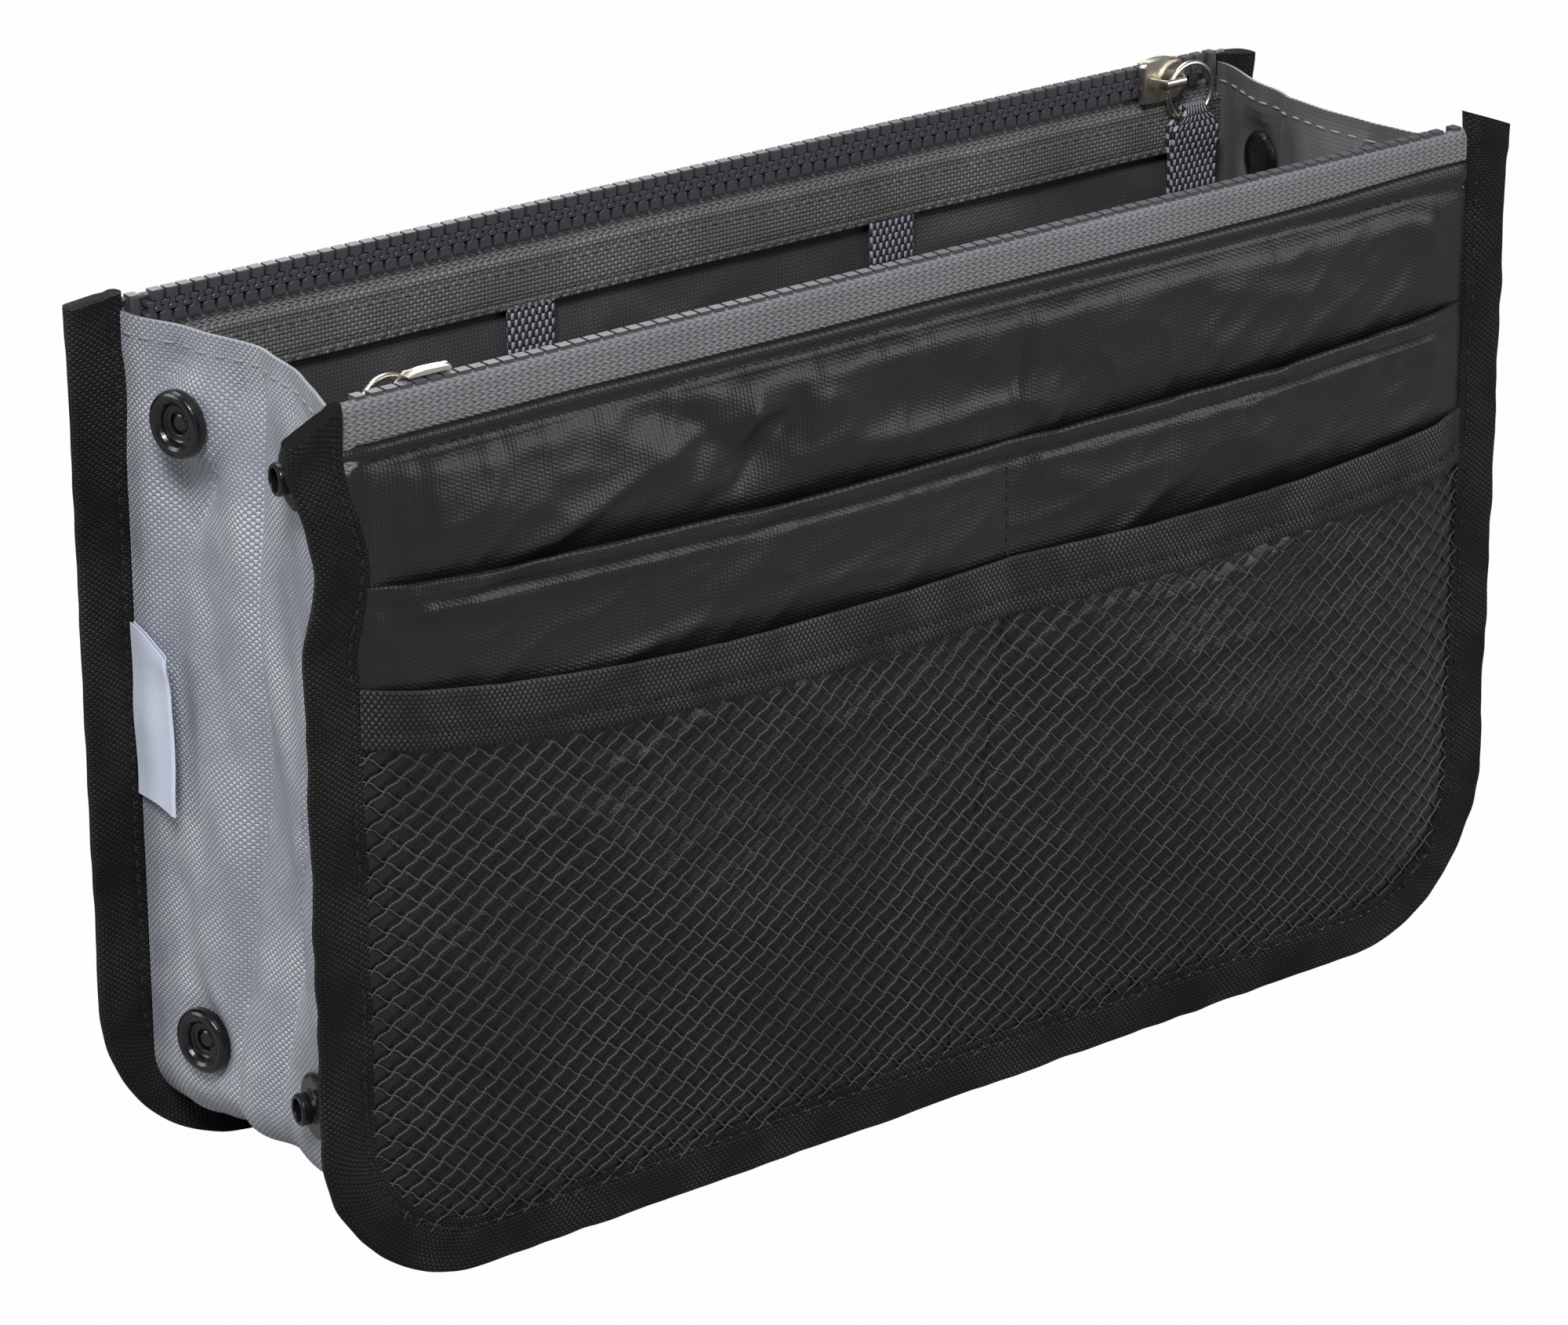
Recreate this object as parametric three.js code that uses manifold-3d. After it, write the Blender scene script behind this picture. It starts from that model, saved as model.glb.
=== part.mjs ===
// Purse organizer insert: two zipped fabric panels joined by a pleated gusset that folds flat.
// Millimetres, +Z up, X along the panels, origin on the ground under the middle.
import * as THREE from "three";
import { mergeVertices } from "three/addons/utils/BufferGeometryUtils.js";
import Module from "manifold-3d";

const wasm = await Module();
wasm.setup();

// Whole object
const organizerLength = 280;
const organizerDepth = 72;
const organizerHeight = 168;
const touchGap = 0.3;
const cutOverrun = 1;

// Binding round the two sides and the bottom of each panel
const bindingWidth = 11;
const bindingThickness = 3.2;
const bindingDrop = 1.5;
const bindingHeight = organizerHeight - bindingDrop;
const bindingCornerRadius = 34;
const bindingInnerRadius = 23;
const bindingTopRadius = 1.5;

// Fabric layers of a panel, as distances from the binding's middle plane, outwards positive
const clothThickness = 0.8;
const outerWallOffset = 1.3;
const outerWallDrop = 8;
const outerWallTop = organizerHeight - outerWallDrop;
const outerWallCrown = 1.2;
const liningOffset = -1.9;
const liningDrop = 15.5;
const liningTop = organizerHeight - liningDrop;
const liningCrown = 0.4;
const slipMouthDrop = 34;
const slipMouthHeight = organizerHeight - slipMouthDrop;
const slipMouthSag = 2.2;
const slipFullness = 1.2;
const hemHeight = 6;
const hemThickness = 0.5;
const netThickness = 0.7;
const netFullness = 1;
const netClearance = 1.8;
const netColumns = 15;
const netRows = 4;
const netStrand = 1.6;
const netMargin = 3.2;
const bandHeight = 11;
const bandThickness = 1.2;
const bandClearance = 1.1;
const netBandDrop = 58;
const netBandTop = organizerHeight - netBandDrop;
const netUnderBand = 7;
const netTop = netBandTop - netUnderBand;
const netBandSag = 2;
const compartmentCount = 2;

// Zip fastener along the top of each panel
const zipEndInset = 2.2;
const rowHeight = 3.1;
const chainThickness = 2.4;
const chainOffset = -2.4;
const toothPitch = 3;
const toothReach = 0.8;
const toothGap = 0.25;
const tapeThickness = 0.7;
const outerTapeOffset = 0.3;
const outerTapeHeight = 14;
const innerTapeOffset = -1.55;
const innerTapeHeight = 8.5;
const liningBandHeight = 10.5;
const liningBandDrop = 8.5;
const liningBandTop = organizerHeight - liningBandDrop;
const liningBandOffset = -3.1;
const liningBandThickness = 0.9;

// Slider, ring and pull tab
const sliderLength = 11;
const sliderPlate = 1.2;
const sliderFlange = 1;
const sliderTaper = 1.6;
const sliderFromEnd = 16;
const bridgeLength = 8;
const bridgeWidth = 2;
const bridgeThickness = 0.9;
const bridgeRise = 3;
const ringRadius = 5.7;
const ringWire = 0.5;
const ringOffset = -5.8;
const ringAcross = 5;
const ringDrop = 2.6;
const tabWidth = 12;
const tabNeckWidth = 4.4;
const tabAside = 0.6;
const tabNeckHeight = 5;
const tabLength = 27;
const tabLayer = 0.6;
const tabEye = 1.8;
const tabEyeHeight = 6;
const tabOverWire = 1.1;

// Carry handle sewn under the lining band
const webbingWidth = 11;
const webbingThickness = 1.5;
const handleSpan = 86;
const handleDrop = 56;
const handleUprightShare = 15 / 112;
const handleOffset = -4.1;

// Gusset: a fixed return along each panel, then two leaves that meet at the crease
const gussetThickness = 0.9;
const returnDepth = 9;
const seamRadius = 12;
const gussetDrop = 3;
const gussetTop = organizerHeight - gussetDrop;
const openLeafAngle = THREE.MathUtils.degToRad(10);
const foldedLeafAngle = THREE.MathUtils.degToRad(76);
const cornerClearance = 1.6;

// Snap fasteners
const snapRadius = 6.2;
const snapFromPanel = 18;
const upperSnapDrop = 19;
const upperSnapHeight = organizerHeight - upperSnapDrop;
const lowerSnapHeight = 31;
const snapHoleRadius = 2.1;
const snapPostRadius = 1.8;
const capHeight = 1.6;
const capEdge = 0.5;
const socketHeight = 2.6;
const socketBore = 3.4;
const socketFloor = 0.8;
const studFlange = 1.4;
const studBossRadius = 2.9;
const studBossHeight = 4.4;
const snapFillet = 0.6;

// Blank woven tab caught in the rear left seam
const labelLength = 33;
const labelReach = 14;
const labelThickness = 0.6;
const labelCentreHeight = 91;

// Values worked out from the sizes above
const halfLength = organizerLength / 2;
const halfDepth = organizerDepth / 2;
const seamX = halfLength - bindingWidth;
const seamZ = bindingWidth;
const halfBinding = bindingThickness / 2;
const hingeY = halfDepth - returnDepth;
const leafLength = hingeY / Math.cos(openLeafAngle);
const creaseReach = leafLength * Math.sin(openLeafAngle);
const foldedReach = leafLength * Math.sin(foldedLeafAngle);
const bottomLeafEnd = seamX - foldedReach - cornerClearance;
const sideLeafFoot = seamZ + seamRadius;
const clothHalfWidth = seamX - touchGap;
const clothFoot = seamZ + touchGap;
const zipHalfLength = seamX - zipEndInset;
const sliderX = seamX - sliderFromEnd;

// Materials
const cloth = (name, colour, roughness) =>
  new THREE.MeshStandardMaterial({ name, color: colour, roughness, metalness: 0 });
const materials = {
  satin: cloth("satin", 0x2f2f33, 0.45),
  lining: cloth("lining", 0x37373b, 0.5),
  binding: cloth("binding", 0x1f1f21, 0.9),
  net: cloth("net", 0x33333a, 0.7),
  band: cloth("band", 0x2a2a2c, 0.9),
  tape: cloth("tape", 0x62626a, 0.85),
  teeth: cloth("teeth", 0x4f4f55, 0.4),
  liningBand: cloth("lining_band", 0x5d635f, 0.8),
  gusset: cloth("gusset", 0x8b93a0, 0.6),
  webbing: cloth("webbing", 0x6d6e7c, 0.8),
  snap: cloth("snap", 0x1b1b1d, 0.2),
  label: cloth("label", 0xdfe3f4, 0.7),
  metal: new THREE.MeshStandardMaterial({ name: "metal", color: 0xc9bfa4, roughness: 0.25, metalness: 1 }),
};

const named = (name, geometry, material) => {
  const mesh = new THREE.Mesh(geometry, material);
  mesh.name = name;
  return mesh;
};

// Solids and joins
function solid(geometry) {
  const bare = geometry.clone();
  bare.deleteAttribute("normal");
  bare.deleteAttribute("uv");
  const merged = mergeVertices(bare, 1e-4);
  const vertProperties = new Float32Array(merged.attributes.position.array);
  const triVerts = new Uint32Array(merged.index.array);
  return new wasm.Manifold(new wasm.Mesh({ numProp: 3, vertProperties, triVerts }));
}

function geometryOf(made) {
  const { vertProperties, triVerts } = made.getMesh();
  const geometry = new THREE.BufferGeometry();
  geometry.setAttribute("position", new THREE.BufferAttribute(vertProperties, 3));
  geometry.setIndex(new THREE.BufferAttribute(triVerts, 1));
  return geometry;
}

const joined = (pieces) => geometryOf(pieces.map(solid).reduce((sum, piece) => sum.add(piece)));
const cut = (body, ...tools) =>
  geometryOf(tools.map(solid).reduce((left, tool) => left.subtract(tool), solid(body)));

// A profile drawn across one axis and extruded along it, from low to high.
function extruded(axis, shape, low, high, steps = 1) {
  const geometry = new THREE.ExtrudeGeometry(shape, {
    depth: high - low,
    bevelEnabled: false,
    curveSegments: 6,
    steps,
  });
  geometry.translate(0, 0, low);
  if (axis === "x") {
    geometry.applyMatrix4(
      new THREE.Matrix4().set(0, 0, 1, 0, 1, 0, 0, 0, 0, 1, 0, 0, 0, 0, 0, 1),
    );
  }
  if (axis === "y") {
    geometry.rotateX(Math.PI / 2);
    geometry.translate(0, low + high, 0);
  }
  return geometry;
}

function polygon(points) {
  return new THREE.Shape(points.map(([a, b]) => new THREE.Vector2(a, b)));
}

function box(x0, x1, y0, y1, z0, z1) {
  const geometry = new THREE.BoxGeometry(x1 - x0, y1 - y0, z1 - z0);
  return geometry.translate((x0 + x1) / 2, (y0 + y1) / 2, (z0 + z1) / 2);
}

// The lower edge of a cloth layer, rounded to follow the binding's inner edge.
function clothEdge(x) {
  const inwards = clothHalfWidth - Math.abs(x);
  const radius = bindingInnerRadius;
  if (inwards >= radius) return clothFoot;
  const across = radius - inwards;
  return clothFoot + radius - Math.sqrt(Math.max(radius * radius - across * across, 0));
}

const spread = (count) => Array.from({ length: count + 1 }, (_, i) => i / count);

// Shares of the way across that crowd towards both ends, where the corners are round.
const eased = (count) => spread(count).map((share) => (1 - Math.cos(Math.PI * share)) / 2);

// A closed cloth layer between two surfaces given as distances from the panel's middle plane.
function layer({ left, right, foot, top, inner, outer, columns, rows }) {
  const points = [];
  const faces = [];
  const across = columns + 1;
  const up = rows + 1;
  for (const surface of [inner, outer]) {
    for (const u of eased(columns)) {
      const x = left + (right - left) * u;
      for (const v of spread(rows)) {
        const z = foot(x) + (top(x) - foot(x)) * v;
        points.push(x, halfDepth + surface(x, z), z);
      }
    }
  }
  const at = (side, i, j) => side * across * up + i * up + j;
  const quad = (a, b, c, d) => faces.push(a, b, c, a, c, d);
  for (let i = 0; i < columns; i += 1) {
    for (let j = 0; j < rows; j += 1) {
      quad(at(0, i, j), at(0, i + 1, j), at(0, i + 1, j + 1), at(0, i, j + 1));
      quad(at(1, i, j), at(1, i, j + 1), at(1, i + 1, j + 1), at(1, i + 1, j));
    }
    quad(at(0, i, 0), at(1, i, 0), at(1, i + 1, 0), at(0, i + 1, 0));
    quad(at(0, i, rows), at(0, i + 1, rows), at(1, i + 1, rows), at(1, i, rows));
  }
  for (let j = 0; j < rows; j += 1) {
    quad(at(0, 0, j), at(0, 0, j + 1), at(1, 0, j + 1), at(1, 0, j));
    quad(at(0, columns, j), at(1, columns, j), at(1, columns, j + 1), at(0, columns, j + 1));
  }
  const geometry = new THREE.BufferGeometry();
  geometry.setAttribute("position", new THREE.Float32BufferAttribute(points, 3));
  geometry.setIndex(faces);
  return geometry;
}

// Crown of a panel: nothing at its edges, all of it in the middle.
function crown(x, z, top) {
  const across = 1 - (x / clothHalfWidth) ** 2;
  const height = (z - clothFoot) / (top - clothFoot);
  return Math.max(across, 0) * Math.sin(Math.PI * Math.min(Math.max(height, 0), 1));
}

// Fullness of a pocket: pinched at its side seams and centre seam, open towards its mouth.
function pocketShare(x, z, mouth) {
  const cell = ((x + clothHalfWidth) / (2 * clothHalfWidth)) * compartmentCount;
  const height = Math.min(Math.max((z - clothFoot) / (mouth - clothFoot), 0), 1);
  return Math.sin(Math.PI * cell) ** 2 * Math.sin((Math.PI / 2) * height);
}

const outerFace = (x, z) =>
  outerWallOffset + clothThickness + outerWallCrown * crown(x, z, outerWallTop);
const slipInner = (x, z) => outerFace(x, z) + touchGap + slipFullness * pocketShare(x, z, slipMouthHeight);
const slipOuter = (x, z) => slipInner(x, z) + clothThickness;
const netInner = (x, z) => slipOuter(x, z) + netClearance + netFullness * pocketShare(x, z, netBandTop);
const sagging = (height, sag) => (x) => height - sag * Math.cos(((Math.PI / 2) * x) / clothHalfWidth);

// Binding: one U of folded tape, flat underneath where it stands.
function bindingGeometry() {
  const outline = new THREE.Shape();
  const right = halfLength;
  const corner = bindingCornerRadius;
  const inside = seamX;
  const innerCorner = bindingInnerRadius;
  const crest = bindingTopRadius;
  outline.moveTo(right, bindingHeight - crest);
  outline.absarc(right - crest, bindingHeight - crest, crest, 0, Math.PI / 2, false);
  outline.lineTo(inside, bindingHeight);
  outline.lineTo(inside, seamZ + innerCorner);
  outline.absarc(inside - innerCorner, seamZ + innerCorner, innerCorner, 0, -Math.PI / 2, true);
  outline.absarc(innerCorner - inside, seamZ + innerCorner, innerCorner, -Math.PI / 2, -Math.PI, true);
  outline.lineTo(-inside, bindingHeight);
  outline.absarc(crest - right, bindingHeight - crest, crest, Math.PI / 2, Math.PI, false);
  outline.lineTo(-right, corner);
  outline.absarc(corner - right, corner, corner, Math.PI, 1.5 * Math.PI, false);
  outline.absarc(right - corner, corner, corner, 1.5 * Math.PI, 2 * Math.PI, false);
  return extruded("y", outline, halfDepth - halfBinding, halfDepth + halfBinding);
}

const wholeWidth = { left: -clothHalfWidth, right: clothHalfWidth, foot: clothEdge };

function outerWallGeometry() {
  return layer({
    ...wholeWidth,
    top: () => outerWallTop,
    outer: outerFace,
    inner: (x, z) => outerFace(x, z) - clothThickness,
    columns: 16,
    rows: 6,
  });
}

function liningGeometry() {
  const inner = (x, z) => liningOffset - liningCrown * crown(x, z, liningTop);
  return layer({
    ...wholeWidth,
    top: () => liningTop,
    inner,
    outer: (x, z) => inner(x, z) + clothThickness,
    columns: 12,
    rows: 4,
  });
}

// Slip pocket with a folded hem along its mouth.
function slipPocketGeometry() {
  const top = sagging(slipMouthHeight, slipMouthSag);
  const outer = (x, z) => slipOuter(x, z) + (z > top(x) - hemHeight ? hemThickness : 0);
  return layer({ ...wholeWidth, top, inner: slipInner, outer, columns: 20, rows: 6 });
}

// Net of crossing strands: a thin sheet with rows of diamond gaps in each compartment.
function netGeometry() {
  const edge = clothHalfWidth - touchGap;
  const outline = new THREE.Shape();
  const columns = 12;
  eased(columns).forEach((u) => {
    const x = -edge + 2 * edge * u;
    const z = clothEdge(x) + touchGap;
    if (u === 0) outline.moveTo(x, z);
    else outline.lineTo(x, z);
  });
  eased(columns).forEach((u) => outline.lineTo(edge - 2 * edge * u, netTop));
  const width = (2 * edge - 2 * netMargin) / netColumns;
  const foot = clothFoot + netMargin;
  const height = (netTop - foot - netMargin) / netRows;
  const open = 1 - netStrand / Math.hypot(width, height);
  const diamond = (x, z) => {
    const hole = new THREE.Path();
    const halfWidth = (width / 2) * open;
    const halfHeight = (height / 2) * open;
    hole.moveTo(x - halfWidth, z);
    hole.lineTo(x, z - halfHeight);
    hole.lineTo(x + halfWidth, z);
    hole.lineTo(x, z + halfHeight);
    hole.closePath();
    return hole;
  };
  for (let row = 0; row < 2 * netRows - 1; row += 1) {
    const shifted = row % 2;
    for (let column = 0; column < netColumns - shifted; column += 1) {
      const x = -edge + netMargin + width * (column + 0.5 + shifted / 2);
      const z = foot + (height * (row + 1)) / 2;
      const lowest = clothEdge(Math.min(Math.abs(x) + width / 2, edge)) + netMargin;
      if (z - height / 2 >= lowest - netStrand) outline.holes.push(diamond(x, z));
    }
  }
  const sheet = extruded("y", outline, 0, netThickness);
  const points = sheet.attributes.position;
  for (let i = 0; i < points.count; i += 1) {
    const lift = netInner(points.getX(i), points.getZ(i));
    points.setY(i, halfDepth + lift + points.getY(i));
  }
  return sheet;
}

// Grosgrain band over the net's upper edge.
function netBandGeometry() {
  const top = sagging(netBandTop, netBandSag);
  const inner = (x, z) => netInner(x, z) + netThickness + bandClearance;
  return layer({
    ...wholeWidth,
    foot: (x) => top(x) - bandHeight,
    top,
    inner,
    outer: (x, z) => inner(x, z) + bandThickness,
    columns: 20,
    rows: 1,
  });
}

const strip = (offset, thickness, low, high, halfSpan) =>
  box(-halfSpan, halfSpan, halfDepth + offset, halfDepth + offset + thickness, low, high);

// One row of zip teeth: a moulded tooth on every pitch, clasping the corded edge of its tape.
function toothRowGeometry(phase, direction) {
  const middle = organizerHeight - rowHeight;
  const corded = middle + direction * rowHeight;
  const valley = middle + direction * (toothReach + toothGap);
  const tip = middle - direction * toothReach;
  const count = Math.floor((2 * zipHalfLength) / toothPitch) - 1;
  const start = -(count * toothPitch) / 2 + phase;
  const outline = [[-zipHalfLength, corded]];
  outline.push([-zipHalfLength, valley]);
  for (let i = 0; i < count; i += 1) {
    const x = start + i * toothPitch;
    const root = toothPitch / 2 - toothGap;
    const taper = toothGap / 2;
    outline.push([x, valley], [x + taper, tip], [x + root - taper, tip], [x + root, valley]);
  }
  outline.push([zipHalfLength, valley], [zipHalfLength, corded]);
  const low = halfDepth + chainOffset;
  return extruded("y", polygon(outline), low, low + chainThickness);
}

const chainMiddle = organizerHeight - rowHeight;
const plateInner = halfDepth + chainOffset - touchGap;
const plateOuter = plateInner - sliderPlate;
const ringY = halfDepth + ringOffset;
const ringX = sliderX + ringAcross;
const ringZ = chainMiddle - ringDrop;

// Slider: a nosed plate with two flanges that grip the closed chain, and a bridge for the ring.
function sliderGeometry() {
  const grip = rowHeight + touchGap;
  const reach = grip + sliderFlange;
  const plate = polygon([
    [sliderX - sliderLength / 2, chainMiddle - reach],
    [sliderX + sliderLength / 2 - sliderTaper, chainMiddle - reach],
    [sliderX + sliderLength / 2, chainMiddle - reach + sliderTaper],
    [sliderX + sliderLength / 2, chainMiddle + reach - sliderTaper],
    [sliderX + sliderLength / 2 - sliderTaper, chainMiddle + reach],
    [sliderX - sliderLength / 2, chainMiddle + reach],
  ]);
  const flangeEnd = sliderX + sliderLength / 2 - sliderTaper;
  const upperDepth = halfDepth + chainOffset + chainThickness - touchGap;
  const lowerDepth = halfDepth + innerTapeOffset - touchGap;
  const flange = (z0, z1, depth) => box(sliderX - sliderLength / 2, flangeEnd, plateOuter, depth, z0, z1);
  const bridge = new THREE.Shape();
  const half = bridgeLength / 2;
  const crest = -bridgeRise - bridgeThickness;
  bridge.moveTo(sliderX - half, sliderPlate / 2);
  bridge.lineTo(sliderX - half, -bridgeRise);
  bridge.lineTo(sliderX - half + bridgeThickness, crest);
  bridge.lineTo(sliderX + half - bridgeThickness, crest);
  bridge.lineTo(sliderX + half, -bridgeRise);
  bridge.lineTo(sliderX + half, sliderPlate / 2);
  bridge.lineTo(sliderX + half - bridgeThickness, sliderPlate / 2);
  bridge.lineTo(sliderX + half - bridgeThickness, -bridgeRise);
  bridge.lineTo(sliderX - half + bridgeThickness, -bridgeRise);
  bridge.lineTo(sliderX - half + bridgeThickness, sliderPlate / 2);
  const arch = extruded("z", bridge, chainMiddle - bridgeWidth / 2, chainMiddle + bridgeWidth / 2);
  arch.translate(0, plateOuter, 0);
  return joined([
    extruded("y", plate, plateOuter, plateInner),
    flange(chainMiddle + grip, chainMiddle + reach, upperDepth),
    flange(chainMiddle - reach, chainMiddle - grip, lowerDepth),
    arch,
  ]);
}

function ringGeometry() {
  const ring = new THREE.TorusGeometry(ringRadius, ringWire, 6, 24);
  ring.rotateX(Math.PI / 2);
  return ring.translate(ringX, ringY, ringZ);
}

// Pull tab: webbing folded over the ring's lower wire and stitched to itself.
function tabGeometry() {
  const wireZ = ringZ - ringRadius;
  const top = wireZ + ringWire + tabOverWire + tabLayer;
  const eyeTop = top - tabLayer;
  const foot = top - tabLength;
  const half = tabEye / 2 + tabLayer;
  const loop = new THREE.Shape();
  loop.moveTo(ringY - half, foot);
  loop.lineTo(ringY + half, foot);
  loop.lineTo(ringY + half, eyeTop);
  loop.absarc(ringY, eyeTop, half, 0, Math.PI, false);
  const eye = new THREE.Path();
  eye.moveTo(ringY - tabEye / 2, eyeTop);
  eye.lineTo(ringY, eyeTop - tabEyeHeight);
  eye.lineTo(ringY + tabEye / 2, eyeTop);
  eye.absarc(ringY, eyeTop, tabEye / 2, 0, Math.PI, false);
  loop.holes.push(eye);
  const tabX = ringX + tabAside;
  const folded = extruded("x", loop, tabX - tabWidth / 2, tabX + tabWidth / 2);
  const neck = (side) =>
    extruded(
      "y",
      polygon([
        [ringX + side * (tabNeckWidth / 2), top + tabWidth],
        [ringX + side * (tabNeckWidth / 2), top - tabNeckHeight],
        [tabX + side * (tabWidth / 2 + cutOverrun), top - 2 * tabNeckHeight],
        [tabX + side * (tabWidth + cutOverrun), top - 2 * tabNeckHeight],
        [tabX + side * (tabWidth + cutOverrun), top + tabWidth],
      ]),
      ringY - tabWidth,
      ringY + tabWidth,
    );
  return cut(folded, neck(1), neck(-1));
}

const handleTop = liningBandTop - liningBandHeight - touchGap;
const handleY = halfDepth + handleOffset;

// Carry handle: flat webbing hanging in a U from under the lining band.
function handleGeometry() {
  const outside = handleSpan / 2 + webbingWidth / 2;
  const inside = handleSpan / 2 - webbingWidth / 2;
  const upright = handleDrop * handleUprightShare;
  const centre = handleTop - upright;
  const bend = handleDrop - upright;
  const outline = new THREE.Shape();
  outline.moveTo(-outside, handleTop);
  outline.lineTo(-outside, centre);
  outline.absellipse(0, centre, outside, bend, Math.PI, 2 * Math.PI, false);
  outline.lineTo(outside, handleTop);
  outline.lineTo(inside, handleTop);
  outline.lineTo(inside, centre);
  outline.absellipse(0, centre, inside, bend - webbingWidth, 2 * Math.PI, Math.PI, true);
  outline.lineTo(-inside, handleTop);
  return extruded("y", outline, handleY, handleY + webbingThickness);
}

// One panel with everything sewn to it, facing its outer side to +Y.
function panel(side) {
  const group = new THREE.Group();
  const add = (name, geometry, material) => group.add(named(side + "_" + name, geometry, material));
  const tapeSpan = seamX - touchGap;
  add("binding", bindingGeometry(), materials.binding);
  add("outer_wall", outerWallGeometry(), materials.satin);
  add("lining_wall", liningGeometry(), materials.lining);
  add("slip_pocket", slipPocketGeometry(), materials.satin);
  add("net_pocket", netGeometry(), materials.net);
  add("net_band", netBandGeometry(), materials.band);
  add(
    "zip_outer_tape",
    strip(outerTapeOffset, tapeThickness, organizerHeight - outerTapeHeight, organizerHeight, tapeSpan),
    materials.tape,
  );
  const rowFoot = organizerHeight - 2 * rowHeight - touchGap;
  add(
    "zip_inner_tape",
    strip(innerTapeOffset, tapeThickness, rowFoot - innerTapeHeight, rowFoot, tapeSpan),
    materials.tape,
  );
  add("zip_outer_teeth", toothRowGeometry(0, 1), materials.teeth);
  add("zip_inner_teeth", toothRowGeometry(toothPitch / 2, -1), materials.teeth);
  add(
    "lining_band",
    strip(liningBandOffset, liningBandThickness, liningBandTop - liningBandHeight, liningBandTop, tapeSpan),
    materials.liningBand,
  );
  add("zip_slider", sliderGeometry(), materials.metal);
  add("pull_ring", ringGeometry(), materials.metal);
  add("pull_tab", tabGeometry(), materials.webbing);
  add("handle", handleGeometry(), materials.webbing);
  add("gusset_return", returnGeometry(), materials.gusset);
  return group;
}

// The strip of gusset that stands along a panel's seam, round both sides and the bottom.
function returnGeometry() {
  const outline = new THREE.Shape();
  const inner = seamX;
  const outer = seamX + gussetThickness;
  const centre = seamZ + seamRadius;
  const bend = seamRadius + gussetThickness;
  outline.moveTo(-outer, gussetTop);
  outline.lineTo(-outer, centre);
  outline.absarc(seamRadius - inner, centre, bend, Math.PI, 1.5 * Math.PI, false);
  outline.absarc(inner - seamRadius, centre, bend, 1.5 * Math.PI, 2 * Math.PI, false);
  outline.lineTo(outer, gussetTop);
  outline.lineTo(inner, gussetTop);
  outline.lineTo(inner, centre);
  outline.absarc(inner - seamRadius, centre, seamRadius, 2 * Math.PI, 1.5 * Math.PI, true);
  outline.lineTo(seamRadius - inner, seamZ);
  outline.absarc(seamRadius - inner, centre, seamRadius, 1.5 * Math.PI, Math.PI, true);
  outline.lineTo(-inner, gussetTop);
  const far = halfDepth - halfBinding - touchGap;
  return extruded("y", outline, hingeY + touchGap / 2, far);
}

// A leaf's section: (out, y) with out measured outwards from the seam line at the hinge.
function leafSection(direction) {
  const along = [Math.sin(openLeafAngle), Math.cos(openLeafAngle)];
  const point = (u, w) => [
    -u * along[0] + w * along[1],
    direction * (hingeY - u * along[1] - w * along[0]),
  ];
  return [
    point(touchGap / 2, 0),
    point(leafLength - touchGap / 2, -gussetThickness),
    point(leafLength - touchGap / 2, 0),
    point(touchGap / 2, gussetThickness),
  ];
}

// A side leaf stands upright; the hinge line is at the seam, the crease in the middle.
function sideLeafGeometry(side, direction) {
  const section = leafSection(direction).map(([out, y]) => [side * (seamX + out), y]);
  const plate = extruded("z", polygon(section), sideLeafFoot + touchGap, gussetTop);
  const drill = new THREE.CylinderGeometry(snapHoleRadius, snapHoleRadius, 4 * snapHoleRadius, 16);
  const holes = [lowerSnapHeight, upperSnapHeight].map((z) => onLeaf(drill, side, direction, z));
  return cut(plate, ...holes);
}

function bottomLeafGeometry(direction) {
  const section = leafSection(direction).map(([out, y]) => [y, seamZ - out]);
  return extruded("x", polygon(section), -bottomLeafEnd, bottomLeafEnd);
}

const snapAlong = (snapFromPanel - returnDepth) / Math.cos(openLeafAngle);

// Puts a piece made along +Y on a side leaf: +Y points out of the organizer, 0 is the leaf's outer face.
function onLeaf(geometry, side, direction, z) {
  const sin = Math.sin(openLeafAngle);
  const cos = Math.cos(openLeafAngle);
  const along = new THREE.Vector3(-side * sin, -direction * cos, 0);
  const out = new THREE.Vector3(side * cos, -direction * sin, 0);
  const face = gussetThickness * (1 - snapAlong / leafLength);
  const origin = new THREE.Vector3(side * seamX, direction * hingeY, z)
    .addScaledVector(along, snapAlong)
    .addScaledVector(out, face);
  const normal = out.clone().multiplyScalar(leafLength).addScaledVector(along, gussetThickness).normalize();
  const up = new THREE.Vector3(0, 0, 1);
  const matrix = new THREE.Matrix4().makeBasis(normal.clone().cross(up), normal, up).setPosition(origin);
  return geometry.clone().applyMatrix4(matrix);
}

const turned = (profile) =>
  new THREE.LatheGeometry(profile.map(([radius, height]) => new THREE.Vector2(radius, height)), 16);

// A soft corner of the gusset between a side leaf and the bottom leaf.
function cornerGeometry(side) {
  const outline = new THREE.Shape();
  const centreX = seamX - seamRadius;
  const centreZ = seamZ + seamRadius;
  const outer = seamRadius + gussetThickness;
  outline.moveTo(bottomLeafEnd + touchGap, seamZ);
  outline.lineTo(bottomLeafEnd + touchGap, seamZ - gussetThickness);
  outline.absarc(centreX, centreZ, outer, -Math.PI / 2, 0, false);
  outline.absarc(centreX, centreZ, seamRadius, 0, -Math.PI / 2, true);
  const far = hingeY - touchGap / 2;
  const corner = extruded("y", outline, -far, far);
  return side > 0 ? corner : corner.rotateZ(Math.PI);
}

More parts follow.
